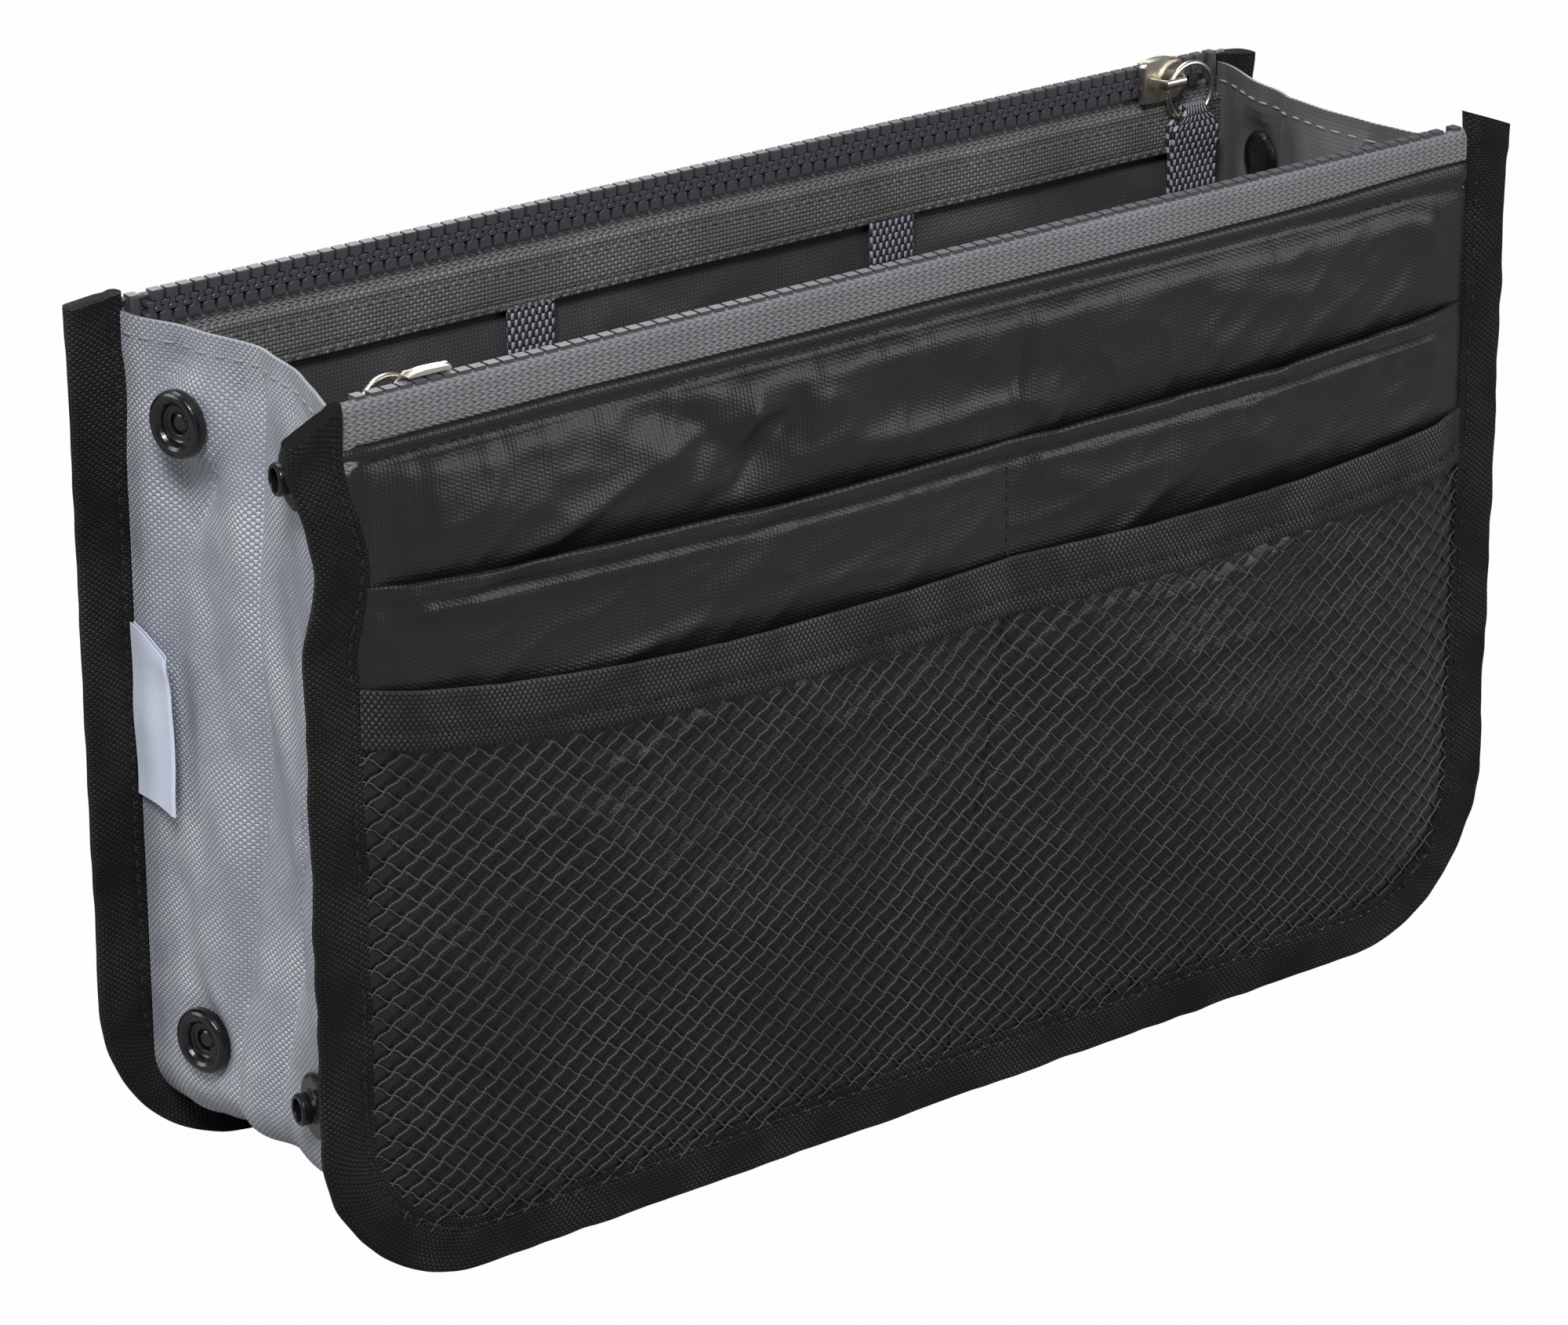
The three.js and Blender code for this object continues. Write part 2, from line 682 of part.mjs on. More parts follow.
// Inner half of a snap: a domed cap whose post goes through the leaf.
function capGeometry() {
  const seat = -gussetThickness - touchGap;
  const postEnd = touchGap + socketFloor;
  return turned([
    [0, seat - capHeight],
    [snapRadius / 2, seat - capHeight + capEdge / 4],
    [snapRadius - capEdge, seat - capHeight + capEdge],
    [snapRadius, seat - capEdge],
    [snapRadius - capEdge, seat],
    [snapPostRadius, seat],
    [snapPostRadius, postEnd],
    [0, postEnd],
  ]);
}

// Outer half at the rear: a thick ring with a dished opening.
function socketGeometry() {
  const low = touchGap;
  const high = touchGap + socketHeight;
  return turned([
    [snapHoleRadius, low],
    [snapRadius - snapFillet, low],
    [snapRadius, low + snapFillet],
    [snapRadius, high - snapFillet],
    [snapRadius - snapFillet, high],
    [socketBore + snapFillet, high],
    [socketBore, high - snapFillet],
    [socketBore, low + socketFloor],
    [snapHoleRadius, low + socketFloor],
    [snapHoleRadius, low],
  ]);
}

// Outer half at the front: a flange with a hollow boss that enters the ring.
function studGeometry() {
  const low = touchGap;
  const flange = touchGap + studFlange;
  const high = touchGap + studBossHeight;
  return turned([
    [snapHoleRadius, low],
    [snapRadius - snapFillet, low],
    [snapRadius, low + snapFillet],
    [snapRadius - snapFillet, flange],
    [studBossRadius, flange],
    [studBossRadius, high - snapFillet / 2],
    [studBossRadius - snapFillet / 2, high],
    [snapHoleRadius, high],
    [snapHoleRadius, low],
  ]);
}

function labelGeometry() {
  const near = seamX + gussetThickness + touchGap;
  const sewn = halfDepth - halfBinding - touchGap;
  const low = labelCentreHeight - labelLength / 2;
  return box(-near - labelThickness, -near, sewn - labelReach, sewn, low, low + labelLength);
}

const organizer = new THREE.Group();
const rear = panel("rear");
rear.add(named("label_tab", labelGeometry(), materials.label));
organizer.add(rear);

const front = panel("front");
front.rotation.z = Math.PI;
organizer.add(front);

const halves = { rear: 1, front: -1 };
const sides = { left: -1, right: 1 };
const snapHeights = { upper: upperSnapHeight, lower: lowerSnapHeight };

for (const [half, direction] of Object.entries(halves)) {
  organizer.add(named("bottom_leaf_" + half, bottomLeafGeometry(direction), materials.gusset));
  for (const [sideName, side] of Object.entries(sides)) {
    organizer.add(named(sideName + "_leaf_" + half, sideLeafGeometry(side, direction), materials.gusset));
    for (const [level, z] of Object.entries(snapHeights)) {
      const name = sideName + "_" + level + "_snap_";
      const outer = half === "rear" ? socketGeometry() : studGeometry();
      const word = half === "rear" ? "socket" : "stud";
      organizer.add(named(name + word, onLeaf(outer, side, direction, z), materials.snap));
      organizer.add(named(name + word + "_cap", onLeaf(capGeometry(), side, direction, z), materials.snap));
    }
  }
}
for (const [sideName, side] of Object.entries(sides)) {
  organizer.add(named(sideName + "_corner", cornerGeometry(side), materials.gusset));
}

export default organizer;
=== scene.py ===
"""Looks of the purse organizer insert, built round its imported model."""

import logging
import math
from dataclasses import dataclass, replace
from enum import Enum
from typing import Any, Callable

import bmesh
import bpy
from mathutils import Matrix, Vector, noise


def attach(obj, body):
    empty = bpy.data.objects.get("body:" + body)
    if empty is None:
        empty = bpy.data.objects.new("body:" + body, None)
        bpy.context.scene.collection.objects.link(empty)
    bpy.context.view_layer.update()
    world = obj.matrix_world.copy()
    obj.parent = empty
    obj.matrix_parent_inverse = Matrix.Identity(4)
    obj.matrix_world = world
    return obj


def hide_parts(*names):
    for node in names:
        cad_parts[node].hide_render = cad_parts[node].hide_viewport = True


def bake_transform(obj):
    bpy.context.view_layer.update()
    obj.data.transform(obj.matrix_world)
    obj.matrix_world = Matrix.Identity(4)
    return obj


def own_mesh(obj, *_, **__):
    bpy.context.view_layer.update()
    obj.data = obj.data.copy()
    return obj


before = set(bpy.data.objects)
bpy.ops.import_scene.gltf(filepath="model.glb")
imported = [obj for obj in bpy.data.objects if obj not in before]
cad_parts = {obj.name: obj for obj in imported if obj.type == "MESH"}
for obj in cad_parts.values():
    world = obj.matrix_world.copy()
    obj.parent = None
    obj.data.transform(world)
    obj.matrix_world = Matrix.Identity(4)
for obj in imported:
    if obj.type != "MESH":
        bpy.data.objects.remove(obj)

LOG = logging.getLogger("organizer")

MM = 0.001
PHOTO_WIDTH = 2000

# Millimetres: a panel's distance from the middle, the snaps' heights, and the
# width under which a strip's cut size is not worked out.
HALF_DEPTH = 36.0
SNAP_HEIGHTS = {"upper": 149.0, "lower": 31.0}
LEAST_SHEET = 10.0

# Heights of the seams on the lining's band, in millimetres.
BAND_SEAMS = {"top": 157.2, "middle": 151.6, "low": 150.4}

Colour = tuple[float, float, float]
Finishes = dict[str, bpy.types.Material]
Edge = Callable[[float], float]
Relief = Callable[[float, float], float]
Surface = Callable[[float, float], Vector]
Path = Callable[[float], tuple[Vector, Vector]]


class Side(Enum):
    """The two zipped panels, which are each other turned half round."""

    FRONT = 1
    REAR = -1

    @property
    def word(self) -> str:
        """The side's name in the model."""
        return self.name.lower()

    def place(self, x: float, out: float, z: float) -> Vector:
        """Turns a spot on the panel into a place in the frame.

        Args:
            x: Millimetres along the panel, to the right seen from outside.
            out: Millimetres outward from the panel's middle plane.
            z: Millimetres above the ground.

        Returns:
            The place in metres.
        """
        return Vector((self.value * x, -self.value * (HALF_DEPTH + out), z)) * MM

    def shift(self, x: float, out: float) -> Vector:
        """The way in the frame for millimetres along and out of the panel."""
        return self.place(x, out, 0) - self.place(0, 0, 0)

    def outward(self, direction: float = 1) -> Vector:
        """The panel's outward direction, or the inward one for minus one."""
        return self.shift(0, direction).normalized()


class End(Enum):
    """The two ends of the gusset."""

    LEFT = -1
    RIGHT = 1

    @property
    def word(self) -> str:
        """The end's name in the model."""
        return self.name.lower()


class Weave(Enum):
    """How a cloth's yarns cross."""

    PLAIN = "plain"
    BASKET = "basket"
    TWILL = "twill"
    HERRINGBONE = "herringbone"
    RIB = "rib"
    SATIN = "satin"


class Value:
    """A number in a material that takes part in arithmetic."""

    def __init__(self, shader: "Nodes", socket: Any) -> None:
        """Wraps a socket of the shader's node tree."""
        self.shader = shader
        self.socket = socket

    def math(self, operation: str, *others: Any) -> "Value":
        """Adds a Math node.

        Args:
            operation: The node's operation.
            others: Its further inputs, numbers or values.

        Returns:
            The node's result.
        """
        sockets = dict(enumerate((self, *others)))
        node = self.shader.node("ShaderNodeMath", {"operation": operation}, sockets)
        return Value(self.shader, node.outputs[0])

    def __add__(self, other: Any) -> "Value":
        """Adds."""
        return self.math("ADD", other)

    def __mul__(self, other: Any) -> "Value":
        """Multiplies."""
        return self.math("MULTIPLY", other)

    def __sub__(self, other: Any) -> "Value":
        """Subtracts."""
        return self.math("SUBTRACT", other)

    def __truediv__(self, other: Any) -> "Value":
        """Divides."""
        return self.math("DIVIDE", other)

    def sine(self) -> "Value":
        """The sine."""
        return self.math("SINE")

    def floor(self) -> "Value":
        """The whole part."""
        return self.math("FLOOR")

    def fraction(self) -> "Value":
        """The part after the point."""
        return self.math("FRACT")

    def size(self) -> "Value":
        """The value without its sign."""
        return self.math("ABSOLUTE")

    def power(self, exponent: float) -> "Value":
        """Raises to a power."""
        return self.math("POWER", exponent)

    def parity(self) -> "Value":
        """One on odd whole numbers, none on even ones."""
        return (self.floor() * 0.5).fraction() * 2.0

    def ramp(self, low: float, high: float) -> "Value":
        """Rises smoothly from none at low to one at high.

        Args:
            low: Where the rise starts.
            high: Where it ends.

        Returns:
            The risen value.
        """
        node = self.shader.node(
            "ShaderNodeMapRange",
            {"interpolation_type": "SMOOTHSTEP"},
            {"Value": self, "From Min": low, "From Max": high},
        )
        return Value(self.shader, node.outputs["Result"])


class Nodes:
    """The nodes of a material or of the world."""

    def __init__(self, tree: bpy.types.NodeTree, output: str) -> None:
        """Clears the tree and adds its output node."""
        self.tree = tree
        self.tree.nodes.clear()
        self.output = self.node(output)

    def node(
        self,
        kind: str,
        settings: dict[str, Any] | None = None,
        sockets: dict[Any, Any] | None = None,
    ) -> Any:
        """Adds a node.

        Args:
            kind: The node's type.
            settings: Its own settings, which are set first.
            sockets: The values or links of its inputs, by name or number.

        Returns:
            The node.
        """
        made = self.tree.nodes.new(kind)
        for key, value in (settings or {}).items():
            setattr(made, key, value)
        for key, value in (sockets or {}).items():
            self.feed(made.inputs[key], value)
        return made

    def feed(self, socket: Any, value: Any) -> None:
        """Gives an input its value or link.

        Args:
            socket: The input.
            value: A number, colour, value or output.
        """
        if isinstance(value, Value):
            self.tree.links.new(value.socket, socket)
        elif isinstance(value, bpy.types.NodeSocket):
            self.tree.links.new(value, socket)
        elif isinstance(value, tuple) and socket.type == "RGBA":
            socket.default_value = (*value[:3], 1.0)
        else:
            socket.default_value = value

    def show(self, socket: Any) -> None:
        """Makes a shader's output the one that is seen."""
        self.feed(self.output.inputs["Surface"], socket)

    def split(self, lit: Any, seen: Any, share: float) -> None:
        """Shows the camera another shader than the one that the light meets.

        Args:
            lit: The shader that the light meets.
            seen: The shader that the camera sees.
            share: How much of it the camera sees.
        """
        rays = self.node("ShaderNodeLightPath").outputs["Is Camera Ray"]
        inputs = {0: Value(self, rays) * share, 1: lit, 2: seen}
        self.show(self.node("ShaderNodeMixShader", None, inputs).outputs[0])


class Shader(Nodes):
    """A material and the nodes that it is made of."""

    def __init__(self, name: str) -> None:
        """Makes an empty material with a surface shader."""
        self.material = bpy.data.materials.new(name)
        self.material.use_nodes = True
        super().__init__(self.material.node_tree, "ShaderNodeOutputMaterial")
        self.surface = self.node("ShaderNodeBsdfPrincipled")
        self.show(self.surface.outputs[0])

    def set(self, **values: Any) -> None:
        """Sets inputs of the surface shader, named with _ for a space."""
        for key, value in values.items():
            self.feed(self.surface.inputs[key.replace("_", " ")], value)

    def coordinates(self, name: str | None = None) -> tuple[Value, Value, Value, Any]:
        """Reads where a point lies, in millimetres.

        Args:
            name: A UV map, or nothing for the object's own coordinates.

        Returns:
            The three numbers and the vector.
        """
        if name:
            source = self.node("ShaderNodeUVMap", {"uv_map": name}).outputs[0]
        else:
            source = self.node("ShaderNodeTexCoord").outputs["Object"]
        scaled = self.node(
            "ShaderNodeVectorMath", {"operation": "SCALE"}, {"Vector": source, "Scale": 1.0 / MM}
        ).outputs[0]
        split = self.node("ShaderNodeSeparateXYZ", None, {0: scaled})
        x, y, z = (Value(self, output) for output in split.outputs)
        return x, y, z, scaled

    def cloud(self, vector: Any, scale: float, detail: float) -> Value:
        """A soft random pattern from none to one.

        Args:
            vector: Where it is read, in millimetres.
            scale: Its cells per millimetre.
            detail: How many finer layers it has.

        Returns:
            The pattern.
        """
        node = self.node(
            "ShaderNodeTexNoise", None, {"Vector": vector, "Scale": scale, "Detail": detail}
        )
        return Value(self, node.outputs[0])

    def blend(self, share: Any, first: Any, second: Any) -> Any:
        """Mixes two colours.

        Args:
            share: How much of the second one shows.
            first: A colour or output.
            second: A colour or output.

        Returns:
            The mixed colour's output.
        """
        node = self.node("ShaderNodeMix", {"data_type": "RGBA"}, {0: share, 6: first, 7: second})
        return node.outputs[2]

    def bump(self, height: Value, depth: float, strength: float) -> None:
        """Gives the surface relief.

        Args:
            height: The relief, from none to one.
            depth: Its depth in millimetres.
            strength: How much of it shows.
        """
        node = self.node(
            "ShaderNodeBump", None, {"Strength": strength, "Distance": depth * MM, "Height": height}
        )
        self.set(Normal=node.outputs[0])


@dataclass(frozen=True)
class Cloth:
    """A woven finish that follows the cut of its sheet.

    Sizes are in millimetres, and colours are linear.
    """

    name: str
    hollow: Colour
    crown: Colour
    weave: Weave = Weave.PLAIN
    pitch: float = 0.5
    relief: float = 0.08
    roughness: float = 0.75
    sheen: float = 0.2
    mottle: float = 0.25
    check: Colour | None = None
    gloss: float = 0.35
    stretch: float = 1.0
    highlight_patchiness: float = 0.0
    chevron: float = 3.4
    lattice: tuple[float, float, float, float] | None = None

    def yarns(self, u: Value, v: Value) -> tuple[Value, Value]:
        """Works out the relief of the crossing yarns.

        Args:
            u: Along the cut, in millimetres.
            v: Across the cut, in millimetres.

        Returns:
            The relief, and the share of the yarns that run along the cut.
        """
        a, b = u / self.pitch, v / (self.pitch * self.stretch)
        ridge_a = (a * math.pi).sine().size()
        ridge_b = (b * math.pi).sine().size()
        if self.weave is Weave.RIB:
            return ridge_a * 0.75 + ridge_b * 0.25, ridge_a
        if self.weave is Weave.TWILL:
            slant = ((a + b) * math.pi / 2).sine().size()
            return slant * 0.7 + ridge_a * 0.3, slant
        if self.weave is Weave.HERRINGBONE:
            turn = ((v / self.chevron).fraction() - 0.5).size()
            turn = turn * (2 * self.chevron / self.pitch)
            slant = ((a + turn) * math.pi / 2).sine().size()
            return slant * 0.65 + ridge_b * 0.35, slant
        if self.weave is Weave.SATIN:
            slant = ((a * 0.5 + b) * math.pi).sine().size()
            return slant * ridge_a * 0.7 + ridge_b * 0.3, ridge_b
        over = (a.floor() + b.floor()).parity()
        return (ridge_a * ridge_b).power(0.5), over

    def pillows(self, x: Value, z: Value) -> Value:
        """Relief of the cloth where it swells through the net's cells, which also masks the painted
        shade along the yarns.

        Args:
            x: Along the panel, in millimetres.
            z: Up, in millimetres.

        Returns:
            The relief, from none under the yarns to one amid them.
        """
        across, up, first, second = self.lattice
        right = ((x / across + z / up) * 0.5 + first) * math.pi
        left = ((x / across - z / up) * 0.5 + second) * math.pi
        return (right.sine().size() * left.sine().size()).power(0.6)

    def material(self) -> bpy.types.Material:
        """Makes the finish.

        Returns:
            The material.
        """
        made = Shader(self.name)
        u, v, _, place = made.coordinates("cut")
        x, _, z, space = made.coordinates()
        height, over = self.yarns(u, v)
        patches = made.cloud(space, 0.045, 4.0)
        fibres = made.cloud(place, 2.2, 2.0)
        # The colour follows the yarns' relief: partly the yarns' own tone, partly painted shade in
        # the hollows and painted highlight on the crowns.
        shade = made.blend(height * 0.8 + fibres * 0.2, self.hollow, self.crown)
        # Yarns of the other colour show on top, partly their own pale colour and partly painted
        # highlight, stronger in cloud patches of painted highlight.
        if self.check:
            highlight_patches = made.cloud(space, 0.07, 3.0).ramp(0.3, 0.72)
            highlight_patches = highlight_patches * self.highlight_patchiness + (1.0 - self.highlight_patchiness)
            picks_and_highlights = over * height.ramp(0.08, 0.42) * highlight_patches
            shade = made.blend(picks_and_highlights, shade, self.check)
        if self.lattice:
            pillow = self.pillows(x, z)
            # Under the net's yarns the colour falls to the hollow's: painted shade along the yarns.
            shade = made.blend(pillow.ramp(0.15, 0.75), self.hollow, shade)
            height = pillow * 3.6 + height * 0.5
        darker = tuple(c * (1 - self.mottle) for c in self.hollow)
        share = patches.ramp(0.35, 0.75) * self.mottle
        colour = made.blend(share, shade, darker)
        relief = height + fibres * 0.35
        made.bump(relief, self.relief, 0.9)
        made.set(
            Base_Color=colour,
            Roughness=(fibres * 0.16 + patches * 0.1) + (self.roughness - 0.13),
            Sheen_Weight=self.sheen,
            Sheen_Roughness=0.4,
            Specular_IOR_Level=self.gloss,
        )
        return made.material


@dataclass(frozen=True)
class Moulding:
    """A moulded plastic finish."""

    name: str
    colour: Colour
    roughness: float = 0.35
    grain: float = 0.02

    def material(self) -> bpy.types.Material:
        """Makes the finish.

        Returns:
            The material.
        """
        made = Shader(self.name)
        space = made.coordinates()[3]
        flecks = made.cloud(space, 3.0, 4.0)
        smears = made.cloud(space, 0.25, 3.0)
        paler = tuple(min(1.0, c * 1.7 + 0.01) for c in self.colour)
        made.bump(flecks, self.grain, 0.6)
        made.set(
            Base_Color=made.blend(flecks.ramp(0.45, 0.8) * 0.35, self.colour, paler),
            Roughness=smears * 0.18 + (self.roughness - 0.09),
            Coat_Weight=0.15,
            Coat_Roughness=0.3,
        )
        return made.material


@dataclass(frozen=True)
class Plating:
    """A plated metal finish with rubbed spots."""

    name: str
    colour: Colour
    worn: Colour
    roughness: float = 0.24

    def material(self) -> bpy.types.Material:
        """Makes the finish.

        Returns:
            The material.
        """
        made = Shader(self.name)
        space = made.coordinates()[3]
        rubs = made.cloud(space, 0.5, 3.0)
        fine = made.cloud(space, 6.0, 2.0)
        made.bump(fine, 0.004, 0.3)
        made.set(
            Base_Color=made.blend(rubs.ramp(0.58, 0.85), self.colour, self.worn),
            Metallic=1.0,
            Roughness=rubs * 0.08 + fine * 0.04 + (self.roughness - 0.05),
        )
        return made.material


SATIN = Cloth(
    "satin_nylon", (0.0022, 0.0021, 0.003), (0.0125, 0.0113, 0.0158), Weave.SATIN,
    pitch=0.78, relief=0.058, roughness=0.34, sheen=0.02, mottle=0.35, gloss=0.6,
)
LINING = Cloth(
    "lining_nylon", (0.026, 0.025, 0.027), (0.1, 0.096, 0.103), Weave.SATIN,
    pitch=0.78, relief=0.07, roughness=0.38, sheen=0.05, mottle=0.35, gloss=0.55,
)
BINDING = Cloth(
    "binding_tape", (0.0014, 0.0014, 0.0015), (0.017, 0.017, 0.0175), Weave.BASKET,
    pitch=0.56, relief=0.3, roughness=0.75, sheen=0.04, mottle=0.4, check=(0.05, 0.05, 0.051),
    gloss=0.1, stretch=1.3, highlight_patchiness=0.85,
)
MOUTH_BAND = Cloth(
    "mouth_band", (0.001, 0.001, 0.0011), (0.022, 0.022, 0.0225), Weave.BASKET,
    pitch=0.52, relief=0.3, roughness=0.8, sheen=0.1, mottle=0.3, check=(0.11, 0.11, 0.107),
    gloss=0.12, stretch=1.5, highlight_patchiness=0.8,
)
NET_YARN = Cloth(
    "net_yarn", (0.012, 0.012, 0.013), (0.115, 0.114, 0.118), Weave.TWILL,
    pitch=0.45, relief=0.06, roughness=0.5, sheen=0.08, mottle=0.5, gloss=0.25,
)
ZIP_TAPE = Cloth(
    "zip_tape", (0.075, 0.073, 0.08), (0.3, 0.295, 0.315), Weave.HERRINGBONE,
    pitch=0.85, relief=0.28, roughness=0.8, sheen=0.12, mottle=0.15, chevron=1.15,
)
LINING_BAND = Cloth(
    "lining_band", (0.032, 0.034, 0.033), (0.17, 0.18, 0.172), Weave.BASKET,
    pitch=0.8, relief=0.26, roughness=0.5, sheen=0.06, mottle=0.3, check=(0.27, 0.285, 0.27),
    gloss=0.55, highlight_patchiness=0.9,
)
GUSSET = Cloth(
    "gusset_basket", (0.155, 0.176, 0.222), (0.28, 0.305, 0.36), Weave.BASKET,
    pitch=0.62, relief=0.13, roughness=0.4, sheen=0.05, mottle=0.15, check=(0.72, 0.735, 0.755),
    gloss=0.7, highlight_patchiness=0.7,
)
GUSSET_COATING = Cloth(
    "gusset_coating", (0.098, 0.089, 0.095), (0.15, 0.138, 0.146), Weave.PLAIN,
    pitch=0.84, relief=0.03, roughness=0.4, sheen=0.04, mottle=0.4, gloss=0.55,
)
WEBBING = Cloth(
    "webbing", (0.009, 0.009, 0.018), (0.035, 0.035, 0.055), Weave.BASKET,
    pitch=1.4, relief=0.35, roughness=0.6, sheen=0.08, mottle=0.15, check=(0.44, 0.45, 0.5),
    stretch=0.55,
)
LABEL = Cloth(
    "label_ribbon", (0.62, 0.67, 0.82), (0.78, 0.83, 0.97), Weave.SATIN,
    pitch=0.4, relief=0.04, roughness=0.6, sheen=0.1, mottle=0.08,
)
DARK_THREAD = Cloth(
    "dark_thread", (0.005, 0.005, 0.0055), (0.016, 0.016, 0.018), Weave.TWILL,
    pitch=0.3, relief=0.03, roughness=0.6,
)
PALE_THREAD = Cloth(
    "pale_thread", (0.3, 0.3, 0.29), (0.5, 0.5, 0.48), Weave.TWILL,
    pitch=0.3, relief=0.03, roughness=0.6,
)
OLIVE_THREAD = Cloth(
    "olive_thread", (0.12, 0.12, 0.09), (0.22, 0.22, 0.17), Weave.TWILL,
    pitch=0.3, relief=0.03, roughness=0.6,
)
TEETH = Moulding("zip_teeth", (0.062, 0.062, 0.072), 0.42)
SNAP = Moulding("snap_plastic", (0.006, 0.006, 0.007), 0.2, 0.006)
METAL = Plating("slider_plating", (0.8, 0.755, 0.66), (0.66, 0.6, 0.49), 0.27)

FINISHES = (
    SATIN,
    LINING,
    BINDING,
    MOUTH_BAND,
    NET_YARN,
    ZIP_TAPE,
    LINING_BAND,
    GUSSET,
    GUSSET_COATING,
    WEBBING,
    LABEL,
    DARK_THREAD,
    PALE_THREAD,
    OLIVE_THREAD,
    TEETH,
    SNAP,
    METAL,
)

# Folds pressed into the cloth, in millimetres: both ends of each line in x and z,
# then its height and its width.
WALL_FOLDS = (
    (-76, 155, -63, 152, -1.3, 4.6),
    (-63, 152, -52, 143, -1.4, 5.0),
    (-72, 148, -60, 141, 0.8, 5.4),
    (-35, 151, -42, 143, -1.4, 3.6),
    (-42, 143, -51, 135, -1.2, 3.8),
    (-53, 148, -60, 134, 0.8, 3.6),
    (-45, 151, -51, 142, 1.0, 3.0),
    (-29, 150, -35, 139, 1.0, 4.4),
    (16.3, 157, 12.6, 130, -0.7, 1.9),
    (21.0, 153, 17.0, 138, 0.5, 3.0),
    (8, 152, 8, 140, 0.4, 3.6),
    (118, 153, 123.5, 138, 0.9, 3.2),
    (123, 155, 126.5, 140, -0.7, 2.4),
    (60, 150, 96, 141, 0.6, 6.0),
    (-118, 150, -96, 142, 0.5, 7.0),
    (30, 147, 52, 151, 0.4, 4.0),
)
SLIP_FOLDS = (
    (-129, 138, -121, 131.5, 1.3, 2.2),
    (-121, 131.5, -116, 127.5, 1.3, 2.6),
    (-128, 131, -119, 126, -0.8, 2.2),
    (-129, 127, -122, 122, 0.8, 2.6),
    (-116, 129, -100, 126, 0.7, 2.8),
    (-40, 125, -60, 116, 0.7, 5.5),
    (17, 124, 34, 118, 0.7, 4.0),
    (112, 131, 128, 118, 0.8, 4.4),
    (60, 124, 82, 117, 0.5, 6.5),
    (-96, 90, -40, 40, 1.5, 15.0),
    (-118, 60, -84, 24, 1.1, 12.0),
    (-22, 92, 2, 30, -0.9, 10.0),
    (34, 90, 92, 48, 1.4, 15.0),
    (60, 36, 118, 22, 1.0, 11.0),
    (98, 96, 124, 60, 0.9, 11.0),
)


def clamp(value: float) -> float:
    """Holds a number between none and one."""
    return min(1.0, max(0.0, value))


def rise(value: float, low: float, high: float) -> float:
    """Rises smoothly from none at low to one at high.

    Args:
        value: The number to place.
        low: Where the rise starts.
        high: Where it ends.

    Returns:
        The share.
    """
    share = clamp((value - low) / (high - low))
    return share * share * (3 - 2 * share)


def bell(value: float, middle: float, width: float) -> float:
    """A soft bump that is one high in the middle."""
    return math.exp(-(((value - middle) / width) ** 2))


def wave(x: float, z: float, seed: float) -> float:
    """A soft random height from minus one to one, the same in every run.

    Args:
        x: Where it is read, in cells.
        z: Where it is read, in cells.
        seed: Which pattern.

    Returns:
        The height.
    """
    return noise.noise(Vector((x, z, seed * 7.3)))


def pressed(x: float, z: float, folds: tuple[tuple[float, ...], ...]) -> float:
    """Height of the pressed folds at a spot.

    Args:
        x: Along the panel.
        z: Above the ground.
        folds: Their lines, heights and widths.

    Returns:
        The height in millimetres.
    """
    total = 0.0
    for x0, z0, x1, z1, height, width in folds:
        dx, dz = x1 - x0, z1 - z0
        share = clamp(((x - x0) * dx + (z - z0) * dz) / (dx * dx + dz * dz))
        gap = math.hypot(x - x0 - share * dx, z - z0 - share * dz) / width
        if gap < 3.5:
            fade = 0.3 + 0.7 * math.sin(math.pi * share)
            total += height * fade * math.exp(-1.3 * gap**1.4)
    return total


def fold(x: float, z: float, seed: float) -> float:
    """A random pattern of narrow ridges, from none to one.

    Args:
        x: Where it is read, in cells.
        z: Where it is read, in cells.
        seed: Which pattern.

    Returns:
        The height.
    """
    return max(0.0, 1 - 2.6 * abs(wave(x, z, seed))) ** 2


def level(height: float) -> Edge:
    """An edge that stays at one height."""
    return lambda x: height


def baked(mesh: bmesh.types.BMesh, name: str) -> bpy.types.Mesh:
    """Turns a mesh that is being built into one that an object can hold."""
    data = bpy.data.meshes.new(name)
    mesh.to_mesh(data)
    mesh.free()
    return data


def placed(name: str, data: Any) -> bpy.types.Object:
    """Puts an object of the data into the scene."""
    made = bpy.data.objects.new(name, data)
    bpy.context.scene.collection.objects.link(made)
    return made


def face_outward(mesh: bmesh.types.BMesh) -> None:
    """Turns every face of a mesh outward."""
    bmesh.ops.recalc_face_normals(mesh, faces=mesh.faces[:])


def finished(
    mesh: bmesh.types.BMesh,
    name: str,
    materials: list[bpy.types.Material],
    slot: str,
    smooth: bool = True,
) -> bpy.types.Object:
    """Makes an object of a mesh that is in place.

    Args:
        mesh: The mesh, in metres in the frame.
        name: The piece's name.
        materials: Its finishes, by face number.
        slot: Not used.
        smooth: Whether its faces shade as one surface.

    Returns:
        The object.
    """
    flat = [face.tag for face in mesh.faces]
    data = baked(mesh, name)
    for material in materials:
        data.materials.append(material)
    for face, rim in zip(data.polygons, flat):
        face.use_smooth = smooth and not rim
    made = placed(name, data)
    LOG.info("%s: %d faces", name, len(data.polygons))
    return made


